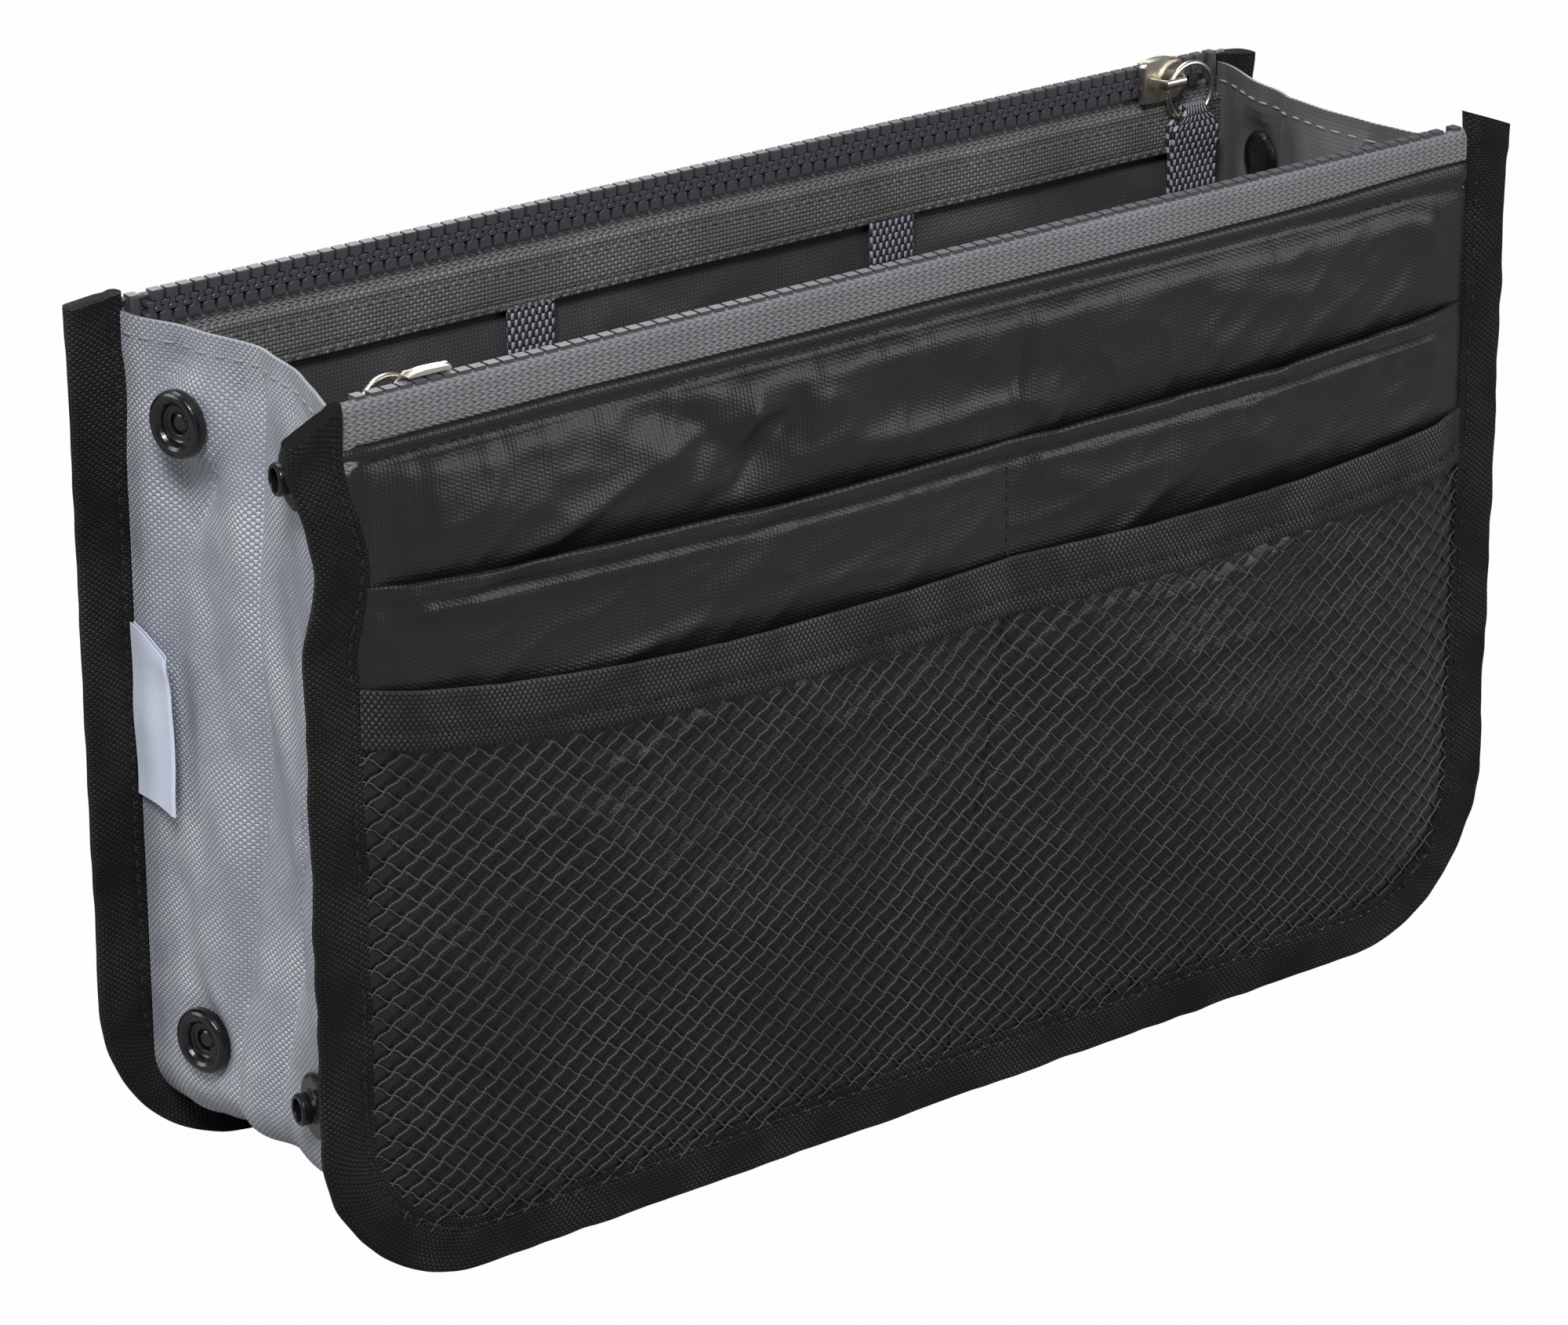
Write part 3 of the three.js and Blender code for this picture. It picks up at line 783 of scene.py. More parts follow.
def grid(columns: int, rows: int, cut: tuple[float, float], surface: Surface) -> bmesh.types.BMesh:
    """Lays a grid over a surface and keeps where each point lay in the flat cut.

    Args:
        columns: Faces along the cut.
        rows: Faces across the cut.
        cut: The cut's length and width in millimetres.
        surface: Gives the place for two shares of the way along and across.

    Returns:
        The mesh.
    """
    mesh = bmesh.new()
    bmesh.ops.create_grid(mesh, x_segments=columns, y_segments=rows, size=0.5)
    for face in mesh.faces:
        face.tag = False
    layer = mesh.loops.layers.uv.new("cut")
    for face in mesh.faces:
        for loop in face.loops:
            spot = loop.vert.co
            loop[layer].uv = ((spot.x + 0.5) * cut[0] * MM, (spot.y + 0.5) * cut[1] * MM)
    for vert in mesh.verts:
        vert.co = surface(vert.co.x + 0.5, vert.co.y + 0.5)
    return mesh


def thicken(made: bpy.types.Object, thickness: float, offset: float) -> None:
    """Gives a sheet its thickness.

    Args:
        made: The sheet.
        thickness: Its thickness in millimetres.
        offset: Where the thickness lies, minus one for inward.
    """
    modifier = made.modifiers.new("thickness", "SOLIDIFY")
    modifier.thickness = thickness * MM
    modifier.offset = offset


def shell(mesh: bmesh.types.BMesh, thickness: float, inside: int) -> None:
    """Gives a sheet its thickness, with edges that don't soften its shading.

    Args:
        mesh: The sheet, facing outward.
        thickness: Its thickness in millimetres, half of it to each side.
        inside: How far on in the list the inner side's finish is.
    """
    mesh.normal_update()
    half = thickness / 2 * MM
    outer, rims = mesh.faces[:], [e for e in mesh.edges if e.is_boundary]
    shifts = {vert: vert.normal * half for vert in mesh.verts}
    copied = bmesh.ops.duplicate(mesh, geom=mesh.verts[:] + mesh.edges[:] + outer)
    twins = {vert: copied["vert_map"][vert] for vert in shifts}
    layer = mesh.loops.layers.uv["cut"]
    for vert, shift in shifts.items():
        twins[vert].co -= shift
        vert.co += shift
    inner = [f for f in copied["geom"] if isinstance(f, bmesh.types.BMFace)]
    bmesh.ops.reverse_faces(mesh, faces=inner)
    for face in inner:
        face.material_index = inside
    for edge in rims:
        loop = edge.link_loops[0]
        first, second = loop.vert, loop.link_loop_next.vert
        places = (loop[layer].uv.copy(), loop.link_loop_next[layer].uv.copy())
        face = mesh.faces.new((second, first, twins[first], twins[second]))
        for corner, place in zip(face.loops, (places[1], *places[:1] * 2, places[1])):
            corner[layer].uv = place
        face.tag = True


def declare(
    cut: tuple[float, float],
    area: float | None = None,
) -> None:
    """Works out how large a sheet was cut, in metres, and keeps nothing.

    Args:
        cut: Its two flat sizes in millimetres.
        area: Its flat area in square millimetres, where it isn't a rectangle.
    """
    flat = (cut[0] * MM, cut[1] * MM)
    share = area * MM * MM if area else None


def loop(share: float, width: float, thickness: float) -> tuple[float, float]:
    """A spot on a flat band's outline, by equal steps round it.

    Args:
        share: Share of the way round, from the middle of one edge.
        width: The band's width.
        thickness: Its thickness.

    Returns:
        The place across the band and through it, from its middle.
    """
    radius, flat = thickness / 2, width - thickness
    quarter = math.pi / 2 * radius
    way = share * (2 * flat + 4 * quarter)
    if way < quarter:
        turn = way / radius
        return flat / 2 + radius * math.cos(turn), radius * math.sin(turn)
    if way < quarter + flat:
        return flat / 2 - (way - quarter), radius
    if way < 3 * quarter + flat:
        turn = (way - flat) / radius
        return radius * math.cos(turn) - flat / 2, radius * math.sin(turn)
    if way < 3 * quarter + 2 * flat:
        return way - 3 * quarter - 1.5 * flat, -radius
    turn = (way - 2 * flat) / radius
    return flat / 2 + radius * math.cos(turn), radius * math.sin(turn)


def tube(around: int, along: int, cut: tuple[float, float], surface: Surface) -> bmesh.types.BMesh:
    """Lays a grid round a closed section and closes its ends.

    Args:
        around: Faces round the section.
        along: Faces along the run.
        cut: The run's length and the section's girth in millimetres.
        surface: Gives the place for shares of the way along and around.

    Returns:
        The closed mesh.
    """
    mesh = grid(along, around, cut, surface)
    bmesh.ops.remove_doubles(mesh, verts=mesh.verts[:], dist=1e-6)
    bmesh.ops.holes_fill(mesh, edges=[e for e in mesh.edges if e.is_boundary])
    face_outward(mesh)
    return mesh


def stitch_row(
    name: str,
    finish: bpy.types.Material,
    slot: str,
    path: Path,
    length: float,
    pitch: float,
    thickness: float,
) -> bpy.types.Object:
    """Sews a row of stitches.

    Args:
        name: The piece's name.
        finish: The thread's finish.
        slot: The record's material slot.
        path: Gives the place and the outward direction for a share of the way.
        length: The row's length in millimetres.
        pitch: The length of a stitch with its gap.
        thickness: The thread's thickness.

    Returns:
        The row.
    """
    mesh = bmesh.new()
    count = max(1, round(length / pitch))
    for index in range(count):
        start, _ = path((index + 0.14) / count)
        middle, out = path((index + 0.5) / count)
        end, _ = path((index + 0.86) / count)
        along = (end - start).normalized()
        side = out.cross(along).normalized()
        turn = Matrix((along, side, along.cross(side))).transposed().to_4x4()
        size = Matrix.Diagonal(
            ((end - start).length / 2, thickness / 2 * MM, thickness / 2 * MM, 1)
        )
        bmesh.ops.create_icosphere(
            mesh, subdivisions=1, radius=1.0, matrix=Matrix.Translation(middle) @ turn @ size
        )
    mesh.loops.layers.uv.new("cut")
    return finished(mesh, name, [finish], slot)


def rounded(
    distance: float, half: float, corner: float, foot: float, top: float
) -> tuple[float, float, float, float]:
    """Follows an edge down the left end, along the bottom and up the right end.

    Args:
        distance: How far along.
        half: Half the edge's length.
        corner: Radius of its lower corners.
        foot: Height of the bottom.
        top: Height of both ends' tops.

    Returns:
        The spot and the direction inward.
    """
    upright, bend = top - foot - corner, math.pi / 2 * corner
    run = 2 * (upright + bend + half - corner)
    side = -1.0 if distance <= run / 2 else 1.0
    way = min(distance, run - distance)
    if way <= upright:
        return side * half, top - way, -side, 0.0
    if way <= upright + bend:
        angle = (way - upright) / corner
        nx, nz = math.cos(angle), math.sin(angle)
        return side * (half - corner * (1 - nx)), foot + corner * (1 - nz), -side * nx, nz
    return side * (half - corner - (way - upright - bend)), foot, 0.0, 1.0


@dataclass(frozen=True)
class SidePart:
    """A sub-assembly of one zipped panel.

    Sizes are in millimetres, and x runs to the right seen from outside.
    """

    side: Side
    finishes: Finishes

    def make(
        self,
        mesh: bmesh.types.BMesh,
        name: str,
        finish: str,
        slot: str,
        node: str = "",
        body: str = "panel",
        thickness: float = 0.0,
        offset: float = -1.0,
        smooth: bool = True,
    ) -> bpy.types.Object:
        """Makes a piece that rides on one of the panel's bodies.

        Args:
            mesh: The piece's mesh.
            name: Its name after the side.
            finish: Its finish.
            slot: The record's material slot.
            node: The node that it stands for, after the side.
            body: The body that it rides on, after the side.
            thickness: The thickness that a sheet is given.
            offset: Where that thickness lies, minus one for inward.
            smooth: Whether its faces shade as one surface.

        Returns:
            The piece.
        """
        word = self.side.word
        made = finished(mesh, f"{word}_{name}", [self.finishes[finish]], slot, smooth)
        if thickness:
            thicken(made, thickness, offset)
        if node:
            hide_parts(f"{word}_{node}")
        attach(made, f"{word}_{body}")
        return made

    def sheet(
        self,
        name: str,
        finish: str,
        slot: str,
        node: str,
        out: Relief,
        span: tuple[Edge, Edge],
        density: tuple[int, int],
        thickness: float,
        reach: float,
    ) -> bpy.types.Object:
        """Cuts and sews on one sheet that runs along the panel.

        Args:
            name: The piece's name after the side.
            finish: Its finish.
            slot: The record's material slot.
            node: The node that it stands for, after the side.
            out: How far it stands out at a spot.
            span: Its lower and upper edge at x.
            density: Faces along and up.
            thickness: The cloth's thickness.
            reach: Half its length.

        Returns:
            The sheet.
        """
        low, high = span

        def surface(u: float, v: float) -> Vector:
            """The place for a spot of the cut."""
            x = -reach + 2 * reach * u
            z = low(x) + (high(x) - low(x)) * v
            return self.side.place(x, out(x, z), z)

        height = high(0.0) - low(0.0)
        mesh = grid(*density, (2 * reach, height), surface)
        return self.make(mesh, name, finish, slot, node, thickness=thickness)

    def along(
        self, half: float, height: Edge, out: Relief, direction: int = 1, middle: float = 0.0
    ) -> Path:
        """Lays a row that runs along the panel.

        Args:
            half: Half its length.
            height: Its height at x.
            out: How far it stands out at a spot.
            direction: One where it shows outward, minus one inward.
            middle: Where its middle lies.

        Returns:
            The row's path.
        """

        def spot(share: float) -> tuple[Vector, Vector]:
            """The place and direction on the row."""
            x = middle - half + 2 * half * share
            z = height(x)
            return self.side.place(x, out(x, z), z), self.side.outward(direction)

        return spot

    def sew(
        self,
        name: str,
        thread: str,
        slot: str,
        path: Path,
        length: float,
        pitch: float = 2.7,
        thickness: float = 0.42,
        body: str = "panel",
    ) -> None:
        """Sews a row of stitches that rides on one of the panel's bodies.

        Args:
            name: The row's name after the side.
            thread: The thread's colour.
            slot: The record's material slot.
            path: Gives the place and direction for a share of the way.
            length: The row's length.
            pitch: The length of a stitch with its gap.
            thickness: The thread's thickness.
            body: The body that it rides on, after the side.
        """
        stem, finish = f"{self.side.word}_{name}_stitches", self.finishes[f"{thread}_thread"]
        row = stitch_row(stem, finish, slot, path, length, pitch, thickness)
        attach(row, f"{self.side.word}_{body}")


@dataclass(frozen=True)
class Panel(SidePart):
    """One zipped panel's walls and pockets, with their stitches."""

    inner_half: float = 129.0
    inner_corner: float = 23.0
    foot: float = 11.0
    tuck: float = 4.5
    wall_top: float = 160.2
    hem: float = 3.8
    slip_hem: float = 3.9
    band_height: float = 11.0
    mesh_across: float = 2.95
    mesh_up: float = 2.2
    net_reach: float = 135.0
    net_foot: float = 7.0
    yarns: tuple[float, float] = (0.42, 0.32)
    yarn_share: float = 0.34
    lining_top: float = 152.0
    cloth: float = 0.5
    wall_cut: float = 151.0
    lining_cut: float = 144.0
    slip_cut: float = 125.0
    seam_x: float = 12.0
    slip_z: float = 130.6
    net_z: float = 108.3

    def inward(self, x: float, z: float) -> float:
        """How far a spot lies inside the binding's inner edge.

        Args:
            x: Along the panel.
            z: Above the ground.

        Returns:
            The distance, below zero under the binding.
        """
        across, up, corner = self.inner_half - abs(x), z - self.foot, self.inner_corner
        if across < corner and up < corner:
            return corner - math.hypot(corner - across, corner - up)
        return min(across, up)

    def lower_edge(self, x: float) -> float:
        """Height of the cloth's hidden lower edge at x."""
        corner = self.inner_corner + self.tuck
        over = abs(x) - (self.inner_half - self.inner_corner)
        low = self.foot - self.tuck
        if over <= 0:
            return low
        return low + corner - math.sqrt(max(0.0, corner**2 - over**2))

    def seam(self, z: float) -> float:
        """Where the pockets' middle seam runs at a height."""
        return self.seam_x * clamp((z - 9.0) / 88.0)

    def slip_mouth(self, x: float) -> float:
        """Height of the slip pocket's mouth."""
        return self.slip_z + 3.8 * (abs(x - self.seam_x) / (self.inner_half + self.seam_x)) ** 1.6

    def net_mouth(self, x: float) -> float:
        """Height of the net pocket's mouth."""
        if x > self.seam_x:
            return self.net_z + 2.6 * ((x - self.seam_x) / (self.inner_half - self.seam_x)) ** 2
        return self.net_z + 8.0 * ((self.seam_x - x) / (self.inner_half + self.seam_x)) ** 3

    @property
    def reach(self) -> float:
        """Half the length of the panel's sheets, with what the binding takes in."""
        return self.inner_half + self.tuck

    @property
    def length(self) -> float:
        """Length of the panel's sheets."""
        return 2 * self.reach

    def fullness(self, x: float, z: float, mouth: float) -> float:
        """Share of a pocket's fullness, pinched at its seams.

        Args:
            x: Along the panel.
            z: Above the ground.
            mouth: Height of the pocket's mouth there.

        Returns:
            The share.
        """
        seam = self.seam(z)
        edge = self.inner_half
        across = (x + edge) / (seam + edge) if x < seam else (edge - x) / (edge - seam)
        height = clamp((z - self.foot) / (mouth - self.foot))
        return math.sin(math.pi * clamp(across)) ** 0.8 * math.sin(math.pi / 2 * height)

    def wall(self, x: float, z: float) -> float:
        """How far the outer wall stands out."""
        inside = self.inward(x, z)
        edge = rise(inside, -0.5, 17.0)
        height = clamp((z - self.foot) / 149.0)
        crown = 1.0 * (1 - (x / self.inner_half) ** 2) * math.sin(math.pi * height)
        # The strip between the pocket and the hem hangs slack, in folds.
        line = self.wall_top - self.hem
        strip = rise(z, 122.0, 138.0) * (1 - rise(z, line - 5.0, line + 0.5))
        slack = 1.4 + 1.3 * wave(x / 47, z / 19, 1)
        slack += 0.9 * fold((x + 0.8 * z) / 58, (z - 0.28 * x) / 21, 2)
        slack += pressed(self.side.value * x, z, WALL_FOLDS)
        # Under the hem's stitches the cloth gathers and puffs out.
        near = math.exp(-max(0.0, line - z) / 5.0) * rise(z, 120, line - 1)
        gather = 0.5 * wave(x / 3.4, z / 30, 4) + 0.5 * wave(x / 8.5, z / 30, 41)
        gather *= near * (1 - rise(z, line - 0.6, line + 0.4))
        gather += 0.3 * fold(x / 13, (z - 0.3 * x) / 8, 43) * strip
        gather += 0.14 * wave(x / 5.5, (z - 0.3 * x) / 4.5, 44) * strip
        puff = 0.4 * near * (1 - rise(z, line - 1.6, line))
        base = 0.35 + 0.75 * rise(inside, -2.0, 2.5)
        return base + edge * (max(0.0, crown) + strip * slack + gather + puff)

    def slip(self, x: float, z: float) -> float:
        """How far the slip pocket stands out."""
        mouth = self.slip_mouth(x)
        edge = rise(self.inward(x, z), -0.5, 9.0)
        share = self.fullness(x, z, mouth)
        slack = 0.8 * wave(x / 38, z / 15, 5)
        slack += 0.5 * fold((x + 0.5 * z) / 44, (z - 0.22 * x) / 14, 6)
        slack += pressed(self.side.value * x, z, SLIP_FOLDS)
        # The mouth's hem puckers along its stitches, over a sharp crease.
        line = mouth - self.slip_hem
        near = math.exp(-max(0.0, line - z) / 4.5) * (1 - rise(z, line - 0.6, line))
        pucker = 0.42 * wave(x / 3.2, z / 30, 8) + 0.42 * wave(x / 9, z / 30, 81)
        pucker = pucker * near + 0.45 * near * (1 - rise(z, line - 1.5, line))
        crease = 0.8 * bell(z, line, 0.7)
        hem = 0.3 * rise(z, line - 0.4, line + 0.6)
        # Below it the pocket swells between its seams.
        body = 0.1 + 2.2 * share + max(-0.3, slack * (0.35 + 0.65 * share))
        body += 0.25 * fold(x / 14, (z - 0.2 * x) / 8, 83) * (0.3 + 0.7 * share)
        gap = 0.18 + edge * max(0.05, 0.35 + body + hem + pucker - crease)
        return self.wall(x, z) + gap

    def net(self, x: float, z: float) -> float:
        """How far the net pocket stands out."""
        mouth = self.net_mouth(x)
        edge = rise(self.inward(x, z), -0.5, 9.0)
        share = self.fullness(x, z, mouth)
        slack = 0.5 + 0.5 * wave(x / 34, z / 24, 9)
        top = rise(z, mouth - 26, mouth - 4) * rise(abs(x - 70), 62, 20)
        gap = 0.5 + share * (0.9 + 0.9 * slack + 1.3 * top)
        return self.slip(x, z) + 0.16 + edge * gap

    def build_walls(self) -> None:
        """Builds the outer wall with its hem and the lining wall."""

        def wall_edge(x: float) -> float:
            """Height of the hem's fold, which wanders a little."""
            high = self.side.value * x
            rear = 1.3 * rise(high, 76, 128) - 0.5 * rise(-high, 90, 128)
            return self.wall_top + rear + 0.25 * wave(x / 24, 0, 42)

        def hemmed(x: float, z: float) -> float:
            """The wall with its turned hem."""
            line = self.wall_top - self.hem
            edge = 0.35 * rise(z, line - 0.3, line + 0.5)
            turn = 0.5 * rise(z, self.wall_top - 0.7, wall_edge(x))
            crease = 0.75 * bell(z, line, 0.65)
            pucker = 0.12 * wave(x / 3.1, 0, 11) * rise(z, line - 1, line + 1)
            return self.wall(x, z) + edge - turn - crease + pucker

        names = ("satin_wall", "satin_nylon", "satin", "outer_wall")
        span = (self.lower_edge, wall_edge)
        wall = self.sheet(*names, hemmed, span, (250, 130), self.cloth, self.reach)
        declare((self.length, self.wall_cut))

        def inner(x: float, z: float) -> float:
            """The lining, which hangs a little slack."""
            edge = rise(self.inward(x, z), -1.0, 14.0)
            drape = 0.9 * wave(x / 42, z / 60, 12)
            drape += 1.3 * fold((x + 0.6 * z) / 40, (z - 0.3 * x) / 50, 13)
            drape += 1.0 * fold((x - 0.8 * z) / 34, z / 40, 43)
            pull = max(0.0, drape) * rise(z, 30, 110) * (1 - rise(z, 140, 149))
            clear = 0.55 * rise(self.inward(x, z), -1.2, 0.6)
            return -0.65 - clear - edge * (0.35 + min(1.7, pull))

        names = ("lining", "lining_nylon", "lining", "lining_wall")
        span = (self.lower_edge, level(self.lining_top))
        lining = self.sheet(*names, inner, span, (130, 70), -0.4, self.reach)
        declare((self.length, self.lining_cut))

    def build_pockets(self) -> None:
        """Builds the slip pocket, the net pocket and its band."""
        names = ("slip_pocket_cloth", "satin_nylon", "satin", "slip_pocket")
        span = (self.lower_edge, self.slip_mouth)
        slip = self.sheet(*names, self.slip, span, (250, 130), self.cloth, self.reach)
        # Under the net the slip pocket takes the satin with painted shade along the net's yarns.
        slip.data.materials.append(self.behind_net().material())
        for face in slip.data.polygons:
            x, _, z = face.center / MM
            if z < self.net_mouth(self.side.value * x) - 5:
                face.material_index = 1
        declare((self.length, self.slip_cut))

        net = self.net_lattice()

        def banded(x: float, z: float) -> float:
            """The band, with its groove and its turned upper edge."""
            up = (z - self.net_mouth(x)) / self.band_height + 1
            groove = 0.6 * bell(up, 0.3, 0.06)
            roll = 0.4 * rise(up, 0.92, 1.0)
            pucker = 0.16 * wave(x / 2.8, up * 2, 14)
            body = 0.75 + 0.45 * math.sin(math.pi * up) - groove - roll + pucker
            edge = rise(self.inward(x, z), -1.0, 3.5)
            return self.net(x, z) + 0.2 + 0.25 * (1 - edge) + edge * body

        names = ("mouth_band", "mouth_band", "band", "net_band")
        span = (lambda x: self.net_mouth(x) - self.band_height, self.net_mouth)
        self.sheet(*names, banded, span, (200, 14), 1.1, self.inner_half + 1.0)
        cut = (self.length, self.net_mouth(0) - self.foot)
        yarns = cut[0] * cut[1] * self.yarn_share
        declare(cut, yarns)

    def strand(
        self, start: Vector, step: Vector, count: int, thickness: float
    ) -> list[list[Vector]]:
        """Lays one yarn of the net and cuts it at the pocket's edges.

        Args:
            start: Its first knot, x and z.
            step: From one knot to the next.
            count: How many knots it passes.
            thickness: The yarn's thickness.

        Returns:
            The centre lines of its parts inside the pocket.
        """
        parts: list[list[Vector]] = [[]]
        # Four spots to a cell let the yarn sway between its knots.
        across = Vector((-step.y, step.x)).normalized() * 0.22
        for index in range(count * 4 + 1):
            knot = index / 4
            spot = start + step * knot + across * math.sin(2 * math.pi * knot)
            x = spot.x + 0.4 * wave(spot.x / 9, spot.y / 9, 15)
            z = spot.y + 0.4 * wave(spot.x / 9, spot.y / 9, 16)
            inside = abs(x) < self.inner_half + 1.5
            inside = inside and self.lower_edge(x) + 0.5 < z < self.net_mouth(x) - 4
            if not inside:
                if parts[-1]:
                    parts.append([])
                continue
            out = self.net(x, z) + thickness / 2
            parts[-1].append(self.side.place(x, out, z))
        return [part for part in parts if len(part) > 2]

    @property
    def mesh_rows(self) -> int:
        """How many rows of cells the net has."""
        height = self.net_mouth(-self.net_reach) - self.net_foot
        return math.ceil(height / self.mesh_up) + 1

    def behind_net(self) -> Cloth:
        """The satin that swells through the net's cells, with painted shade along the net's yarns.

        Returns:
            The finish, in step with the lattice.
        """
        across, up = self.mesh_across, self.mesh_up
        start, low = self.net_reach / across, self.net_foot / up
        shifts = (start - low) / 2, (start + low + self.mesh_rows) / 2
        lattice = (self.side.value * across, up, *shifts)
        return replace(SATIN, name=f"{self.side.word}_netted_satin", lattice=lattice)

    def net_lattice(self) -> bpy.types.Object:
        """Knits the net: stout yarns up to the right, fine ones across them.

        Returns:
            The net.
        """
        mesh = bmesh.new()
        layer = mesh.loops.layers.uv.new("cut")
        outward = self.side.outward()
        span, low = self.net_reach, self.net_foot
        rows = self.mesh_rows
        columns = math.ceil(2 * span / self.mesh_across)
        for direction, thickness in zip((1, -1), self.yarns):
            step = Vector((self.mesh_across, direction * self.mesh_up))
            for index in range(-rows, columns, 2):
                x = -span + index * self.mesh_across
                base = low if direction > 0 else low + rows * self.mesh_up
                start = Vector((x, base))
                for part in self.strand(start, step, rows, thickness):
                    self.spin_yarn(mesh, layer, part, outward, thickness / 2 * MM)
        return self.make(mesh, "net_mesh", "net_yarn", "net", "net_pocket")

    def spin_yarn(
        self,
        mesh: bmesh.types.BMesh,
        layer: Any,
        line: list[Vector],
        outward: Vector,
        radius: float,
    ) -> None:
        """Gives a yarn its round body.

        Args:
            mesh: The net's mesh, which it joins.
            layer: The mesh's map of the cut.
            line: The yarn's centre line.
            outward: The panel's outward direction.
            radius: Half its thickness in metres.
        """
        rings = []
        for index, spot in enumerate(line):
            ahead = line[min(index + 1, len(line) - 1)]
            along = (ahead - line[max(index - 1, 0)]).normalized()
            side = along.cross(outward).normalized()
            ring = [
                mesh.verts.new(spot + (side * math.cos(turn) + outward * math.sin(turn)) * radius)
                for turn in (0.0, math.pi / 2, math.pi, 3 * math.pi / 2)
            ]
            rings.append(ring)
        for first, second in zip(rings, rings[1:]):
            for k in range(4):
                m = (k + 1) % 4
                face = mesh.faces.new((first[k], first[m], second[m], second[k]))
                for loop in face.loops:
                    loop[layer].uv = (loop.vert.co.x, loop.vert.co.z)
        mesh.faces.new(rings[0][::-1])
        mesh.faces.new(rings[-1])

    def build_stitching(self) -> None:
        """Sews the hems, the band and the pockets' middle seam."""
        # Name, height and how far out.
        rows = (
            ("wall_hem", level(self.wall_top - self.hem), lambda x, z: self.wall(x, z) - 0.42),
            (
                "slip_hem",
                lambda x: self.slip_mouth(x) - self.slip_hem,
                lambda x, z: self.slip(x, z) - 0.1,
            ),
            (
                "band_seam",
                lambda x: self.net_mouth(x) - self.band_height * 0.7,
                lambda x, z: self.net(x, z) + 0.2 + 0.72 * rise(self.inward(x, z), -1, 3),
            ),
        )
        for name, height, out in rows:
            path = self.along(self.inner_half, height, out)
            self.sew(name, "dark", "satin", path, 2 * self.inner_half)

        def middle(share: float) -> tuple[Vector, Vector]:
            """The place on the pockets' middle seam."""
            z = 12 + (self.slip_mouth(self.seam_x) - 14) * share
            x = self.seam(z)
            out = self.net(x, z) if z < self.net_mouth(x) else self.slip(x, z)
            over = 0.9 if abs(z - self.net_mouth(x) + 5.5) < 5.5 else 0.1
            return self.side.place(x, out + over, z), self.side.outward()

        self.sew("middle_seam", "dark", "satin", middle, 118)


@dataclass(frozen=True)
class Binding(SidePart):
    """The folded tape round the two ends and the bottom of a panel."""

    half: float = 140.0
    width: float = 11.2
    thickness: float = 2.9
    corner: float = 34.0
    top: float = 166.5
    seam: float = 8.6
    stitch: float = 2.9

    @property
    def tips(self) -> tuple[tuple[float, float], tuple[float, float]]:
        """Rise of the left and right ends over the nominal top, and their slants."""
        if self.side is Side.FRONT:
            return (1.2, 5.5), (4.4, 4.2)
        return (0.6, 1.6), (2.2, 1.3)

    @property
    def run(self) -> float:
        """Length of the outer edge."""
        upright = self.top - self.corner
        return 2 * upright + math.pi * self.corner + 2 * (self.half - self.corner)

    def spot(self, share: float, inward: float, out: float) -> Vector:
        """A place on the tape.

        Args:
            share: Share of the way along.
            inward: Distance from the outer edge.
            out: Distance outward from the middle plane.

        Returns:
            The place.
        """
        distance = self.run * share
        x, z, nx, nz = rounded(distance, self.half, self.corner, 0.0, self.top)
        end = min(distance, self.run - distance)
        wobble = 0.5 * wave(distance / 17, 1, 20) + 0.3 * wave(distance / 5, 1, 23)
        wobble *= rise(end, 0, 12) * (1 - 0.6 * rise(-z, -20, -4))
        upright = rise(z, 44, 80)
        lean = 0.7 * wave(distance / 19, 2, 21) * (0.4 + 0.6 * upright)
        if self.side is Side.REAR:
            lean *= 0.3
            wobble *= 0.3
        lean += 0.35 * wave(distance / 6, inward / 5, 24)
        first = distance < self.run / 2
        tip, slant = self.tips[0] if first else self.tips[1]
        # The front tape's left end curls, and the rear one's right end leans.
        if self.side is Side.FRONT and first:
            wobble -= 2.7 * (1 - rise(end, 8, 22))
            wobble += 2.6 * bell(end, 29, 8.5)
            lean += 1.2 * bell(end, 17, 5) * (1 - inward / self.width)
        if self.side is Side.REAR and not first:
            lean -= 1.5 * bell(end, 18, 7) * inward / self.width
        x, z = x + nx * (inward + wobble), z + nz * (inward + wobble)
        top = 1 - rise(end, 0, 30)
        drop = slant * (1 - inward / self.width) * (1 - rise(end, 0, 14))
        return self.side.place(x, out + lean, max(0.05, z + tip * top - drop))

    def build(self) -> None:
        """Builds the tape and the stitches along its inner edge."""

        def surface(u: float, v: float) -> Vector:
            """The place for a spot of the cut."""
            across, through = loop(v, self.width, self.thickness)
            flat = self.width / 2 - across
            distance = self.run * u
            end = min(distance, self.run - distance)
            half = self.thickness / 2 * (1 - 0.16 * flat / self.width)
            half += 0.75 * (1 - rise(end, 0, 9))
            sewn = bell(flat, self.seam, 0.8)
            dents = math.sin(distance * 2 * math.pi / self.stitch)
            half -= sewn * (0.3 + 0.12 * dents)
            half += 0.2 * wave(distance / 4, flat / 4, 22)
            return self.spot(u, flat, half * 2 * through / self.thickness)

        cut = (self.run, 2 * self.width + 1.14 * self.thickness)
        mesh = tube(44, 420, cut, surface)
        self.make(mesh, "tape_binding", "binding_tape", "binding", "binding")
        for face, direction in (("outer", 1), ("inner", -1)):

            def path(share: float, direction: int = direction) -> tuple[Vector, Vector]:
                """The place and direction on the row."""
                place = self.spot(share, self.seam, direction * 1.18)
                return place, self.side.outward(direction)

            self.sew(f"binding_{face}", "dark", "binding", path, self.run, self.stitch)


